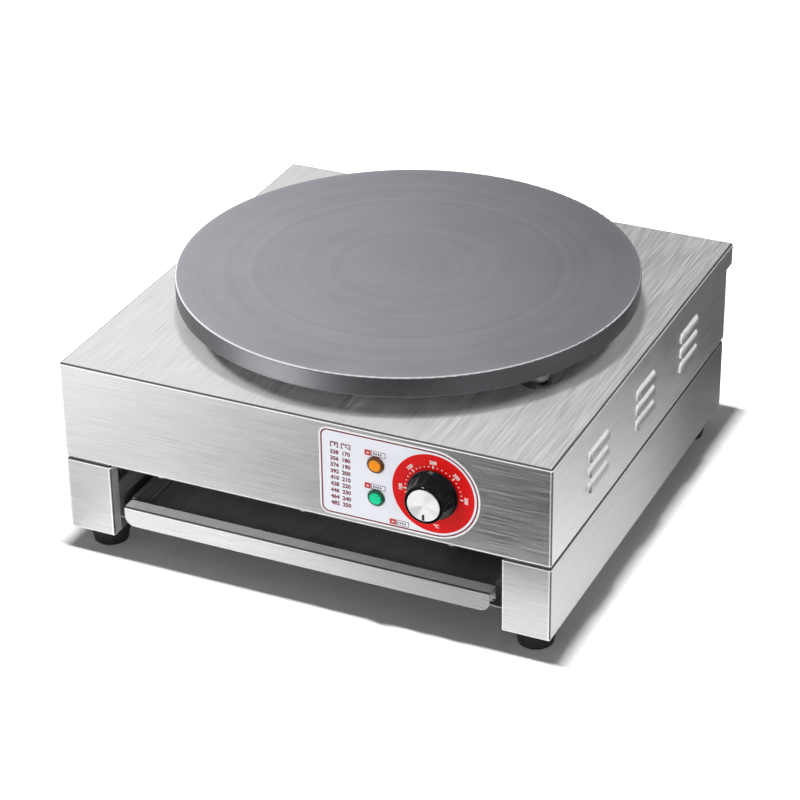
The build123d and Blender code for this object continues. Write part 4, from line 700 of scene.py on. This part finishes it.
for colour_name, colour in (("amber", (0.86, 0.27, 0.010)), ("green", (0.006, 0.62, 0.30))):
    low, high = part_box(colour_name + "_lens")
    middle = ((low.x + high.x) / 2, (low.z + high.z) / 2)
    wide = (high.x - low.x) / 2
    lens_profile = rounded(
        [
            (wide, high.y),
            (wide, high.y - 1.4 * mm),
            (wide - 1.1 * mm, high.y - 1.5 * mm),
            (wide - 1.7 * mm, low.y),
            (0.4 * mm, low.y),
        ],
        0.5 * mm,
    )
    points, faces = turned(lens_profile, middle, 72)
    glass = lens_finish(colour_name + "_lens", colour, middle, wide, low.y)
    cap = stand(colour_name + "_cap", points, faces, glass)
    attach(cap, "housing")
    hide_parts(colour_name + "_lens")

# ---- Temperature knob ---------------------------------------------------------------------
# Black phenolic, moulded with a round skirt and fourteen grip flutes that die out before a smooth
# collar. A spun aluminium disc with a pointer is let into its face.

phenolic = Finish("knob_phenolic", Specular_IOR_Level=0.09)
wear = phenolic.noise(phenolic.node("TexCoord", out=3), 300.0, detail=4.0)
phenolic.set(
    Base_Color=phenolic.tint((0.002, 0.0015, 0.002), 0.7 + wear * 0.6),
    Roughness=0.14 + wear * 0.05,
    Normal=phenolic.bump(wear, 0.00002, 0.3),
)
flutes, flute_depth = 14, 0.9 * mm
flute_start, flute_length = 3.0 * mm, 13.0 * mm
knob_back, knob_front = knob_high.y, knob_low.y
knob_profile = rounded(
    [
        (18.7 * mm, knob_back),
        (22.0 * mm, knob_back),
        (22.0 * mm, knob_back - 2.4 * mm),
        (20.4 * mm, knob_back - 2.9 * mm),
        (19.6 * mm, knob_back - 6.0 * mm),
        (18.6 * mm, knob_back - 10.0 * mm),
        (17.6 * mm, knob_back - 14.0 * mm),
        (17.1 * mm, knob_back - 16.2 * mm),
        (16.6 * mm, knob_front),
        (14.3 * mm, knob_front),
        (14.1 * mm, knob_front + 1.2 * mm),
        (2.0 * mm, knob_front + 1.2 * mm),
    ],
    1.2 * mm,
)


def grip(angle, radius, depth):
    """Flutes: round hollows between rounded ridges, deepest in the middle of the barrel."""
    run = np.clip((knob_back - flute_start - depth) / flute_length, 0.0, 1.0)
    hollow = np.sin(pi * run) ** 0.6 * (run > 0) * (run < 1)
    ridge = np.abs(np.cos(flutes * angle / 2)) ** 1.5
    return radius - flute_depth * hollow * ridge, depth


points, faces = turned(knob_profile, (dial_x, dial_z), flutes * 12, grip)
knob_body = stand("knob_body", points, faces, phenolic)
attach(knob_body, "knob")
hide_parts("knob")

# A small bright lamp for the knob alone draws the highlights of its polished moulding
knob_light = soft_box("knob_light", (-0.5, -1.3, 1.3), (0.12, -0.22, 0.135), 0.12, 0.12, power=70.0)
knob_light.light_linking.receiver_collection = group_of("only_the_knob", knob_body)

spun = Finish("spun_aluminium", Metallic=0.02)
x, _, z = spun.place()
face_x, face_z = x - dial_x, z - dial_z
face_reach = (face_x * face_x + face_z * face_z).apply("SQRT")
around = face_z.apply("ARCTAN2", face_x)
tool = spun.noise(spun.point(face_reach * 3000.0, around * 0.3, 0.0), detail=2.0)


def wedge(middle, half_width):
    """1 inside a wedge about an angle in degrees, falling to 0 at its sides."""
    return (around - radians(middle)).apply("COSINE").rise(cos(radians(half_width)), 1.0)


# Painted reflections: darker wedges across the disc stand in for the way its spun grooves catch the
# light
tarnish_and_painted_shade = wedge(222.0, 36.0) * 0.30 + wedge(62.0, 34.0) * 0.12 + wedge(335.0, 18.0) * 0.10
spun.set(
    Base_Color=spun.tint((0.99, 0.99, 1.00), 1.0 - tarnish_and_painted_shade + (tool - 0.5) * 0.10),
    Roughness=0.30 + tool * 0.12,
    Normal=spun.bump(tool, 0.00003, 0.6),
)
cap_low, cap_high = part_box("knob_cap")
cap_radius = (cap_high.x - cap_low.x) / 2
pointer_proud = 0.08 * mm
cap_face = cap_low.y + pointer_proud
cap_outline = [(cap_radius, cap_high.y), (cap_radius, cap_face), (0.3 * mm, cap_face)]
points, faces = turned(rounded(cap_outline, 0.5 * mm), (dial_x, dial_z), 128)
knob_disc = stand("knob_disc", points, faces, spun)
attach(knob_disc, "knob")
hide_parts("knob_cap")

# The pointer: a black enamelled slot with a round inner end, from the disc's lower edge
slot_half, slot_length, slot_inset, slot_sunk = 1.05 * mm, 5.6 * mm, 0.5 * mm, 0.2 * mm
slot_steps = 12
bow = np.linspace(0.0, pi, slot_steps)
slot_x = np.concatenate(([slot_half], slot_half * np.cos(bow), [-slot_half]))
slot_z = np.concatenate(([0.0], slot_length - slot_half + slot_half * np.sin(bow), [0.0]))
slot_outline = np.column_stack((dial_x + slot_x, dial_z - cap_radius + slot_inset + slot_z))
slot_points = [(x, y, z) for y in (cap_low.y, cap_face + slot_sunk) for x, z in slot_outline]
count = len(slot_outline)
slot_faces = [list(range(count)), list(range(2 * count - 1, count - 1, -1))]
slot_faces += [[i, i + count, (i + 1) % count + count, (i + 1) % count] for i in range(count)]
enamel = Finish("pointer_enamel", Roughness=0.35)
fleck = enamel.noise(enamel.node("TexCoord", out=3), 900.0, detail=2.0)
enamel.set(Base_Color=enamel.tint((0.012, 0.012, 0.013), 0.6 + fleck * 0.8))
pointer = stand("knob_pointer", slot_points, slot_faces, enamel, smooth=False)
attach(pointer, "knob")

# The knob stands out over the floor, and its shadow there would only be a blot beside the machine's
knob_pieces = (knob_body, knob_disc, pointer, nodes["thermostat_spindle"])
casts_none = group_of("casts_no_shadow_on_the_floor", *knob_pieces, left_out=True)
floor_light.light_linking.blocker_collection = casts_none

# ---- Tray ---------------------------------------------------------------------------------
# A folded pan with a bent strip riveted to its front as a handle. The pan is a darker steel than
# the casing, and the handle is the casing's steel, painted lighter on top and darker towards its
# right-hand end.

tray_steel = brushed_steel("tray_steel", (0.27, 0.27, 0.275), 0.34)
dress(tray_steel, "tray_pan")
handle_grey = (0.70, 0.70, 0.70)
# Painted light on the handle's top (level above 1), and painted shade towards its right-hand end
handle_steel = brushed_steel("handle_steel", handle_grey, 0.30, metal=0.75, level=2.2, painted_right_end_shade=0.5)
dress(handle_steel, "tray_handle")

# ---- Rubber feet --------------------------------------------------------------------------
# Four feet of moulded black rubber, dull, with the fine spark-eroded grain of their mould. Each is
# held by one screw up through it, and has dust from the worktop in its grain.

rubber = Finish("foot_rubber", Specular_IOR_Level=0.35)
at = rubber.node("TexCoord", out=3)
grain = rubber.noise(at, 1400.0, detail=2.0)
dusty = rubber.noise(at, 60.0, detail=4.0).rise(0.45, 0.75) * 0.35
rubber.set(
    Base_Color=rubber.mix(dusty, (0.012, 0.012, 0.013), (0.060, 0.058, 0.055)),
    Roughness=0.62 + (grain - 0.5) * 0.2,
    Normal=rubber.bump(grain, 0.0001, 0.7),
)
dress(rubber, "rubber_feet")

# ---- Screws, nuts, washers and studs ------------------------------------------------------
# Turned and pressed steel in bright zinc plate, bluish and a little cloudy. They hold the plate,
# the base, the feet and all that is inside, and the tray's rivets are plated the same way.

zinc = Finish("zinc_plate", Metallic=1.0)
at = zinc.node("TexCoord", out=3)
cloud = zinc.noise(at, 700.0, detail=3.0)
zinc.set(
    Base_Color=zinc.mix(cloud, (0.52, 0.54, 0.58), (0.74, 0.73, 0.68)),
    Roughness=0.24 + cloud * 0.22,
    Normal=zinc.bump(cloud, 0.00004, 0.5),
)
dress(
    zinc, "plate_studs", "stud_washers", "stud_nuts", "clamp_screws", "shield_screws", "clip_screw",
    "thermostat_screws", "lamp_nuts", "earth_nut", "floor_screws", "leg_bolts", "leg_nuts",
    "rear_screws", "skirt_screws", "foot_screws", "foot_nuts", "terminal_nuts", "terminal_screws",
    "tray_rivets",
)

# ---- Heating elements ---------------------------------------------------------------------
# Sheathed tubes bent to rings. The hot length has oxidised to a brown black, the cold ends stay
# grey, and the insulation above the shield is white ceramic felt.

sheath = Finish("element_sheath", Metallic=0.8)
x, y, z = sheath.place()
scale_patches = sheath.noise(sheath.point(x, y, z), 90.0, detail=4.0)
cold_below, hot_above = 0.180, 0.192
cold = 1.0 - z.rise(cold_below, hot_above)
hot_tone = sheath.mix(scale_patches, (0.055, 0.040, 0.034), (0.16, 0.12, 0.10))
sheath.set(
    Base_Color=sheath.mix(cold, hot_tone, (0.34, 0.34, 0.34)),
    Roughness=0.55 + scale_patches * 0.2,
    Normal=sheath.bump(scale_patches, 0.0002, 0.4),
)
dress(sheath, "heating_elements", "element_terminals")

felt = Finish("ceramic_felt", Roughness=0.95)
at = felt.node("TexCoord", out=3)
fibres = felt.noise(at, 500.0, detail=5.0, roughness=0.7)
felt.set(
    Base_Color=felt.mix(fibres, (0.66, 0.64, 0.58), (0.90, 0.89, 0.84)),
    Normal=felt.bump(fibres, 0.0008, 0.8),
)
dress(felt, "insulation_blanket")

# ---- Thermostat, its copper bulb and capillary --------------------------------------------
# The switch is a dark phenolic block, screwed behind the front. Its bulb, clipped under the plate,
# and the hair-thin tube between them are drawn copper, dulled. The terminal block's links and the
# earth stud, of milled brass, tarnish the same way.

phenol = Finish("switch_phenolic", Roughness=0.48)
at = phenol.node("TexCoord", out=3)
filler = phenol.noise(at, 380.0, detail=4.0)
phenol.set(
    Base_Color=phenol.mix(filler, (0.060, 0.030, 0.018), (0.12, 0.062, 0.038)),
    Normal=phenol.bump(filler, 0.0001, 0.5),
)
dress(phenol, "thermostat_body")


def drawn_metal(name, tarnish_and_painted_shade, bright):
    """Copper or brass that has been drawn and handled: bright metal under patches of tarnish."""
    metal = Finish(name, Metallic=1.0)
    patches = metal.noise(metal.node("TexCoord", out=3), 220.0, detail=4.0)
    metal.set(
        Base_Color=metal.mix(patches.rise(0.35, 0.65), tarnish_and_painted_shade, bright),
        Roughness=0.42 - patches * 0.2,
        Normal=metal.bump(patches, 0.00005, 0.4),
    )
    return metal


copper = drawn_metal("drawn_copper", (0.36, 0.16, 0.09), (0.80, 0.42, 0.27))
dress(copper, "sensor_bulb", "capillary_tube")
brass = drawn_metal("milled_brass", (0.50, 0.36, 0.14), (0.83, 0.66, 0.32))
dress(brass, "terminal_links", "earth_stud")

# ---- Mains inlet and wiring ---------------------------------------------------------------
# A black nylon gland is screwed through the rear panel. Behind it are a white nylon terminal block
# and the wires, in red silicone sheath. The lamps' bodies are the gland's black nylon too.


def moulded(name, dark, light, roughness):
    """Moulded plastic: a fine spark grain in colour, gloss and relief."""
    plastic = Finish(name)
    spark = plastic.noise(plastic.node("TexCoord", out=3), 1100.0, detail=3.0)
    plastic.set(
        Base_Color=plastic.mix(spark, dark, light),
        Roughness=roughness + (spark - 0.5) * 0.15,
        Normal=plastic.bump(spark, 0.00006, 0.6),
    )
    return plastic


nylon = moulded("black_nylon", (0.014, 0.014, 0.015), (0.032, 0.032, 0.033), 0.42)
dress(nylon, "gland_body", "gland_nut", "gland_locknut", "lamp_bodies")
white_nylon = moulded("white_nylon", (0.70, 0.69, 0.65), (0.82, 0.81, 0.77), 0.45)
dress(white_nylon, "terminal_block")
silicone = moulded("silicone_sheath", (0.34, 0.050, 0.030), (0.46, 0.080, 0.050), 0.60)
dress(silicone, "internal_wires")
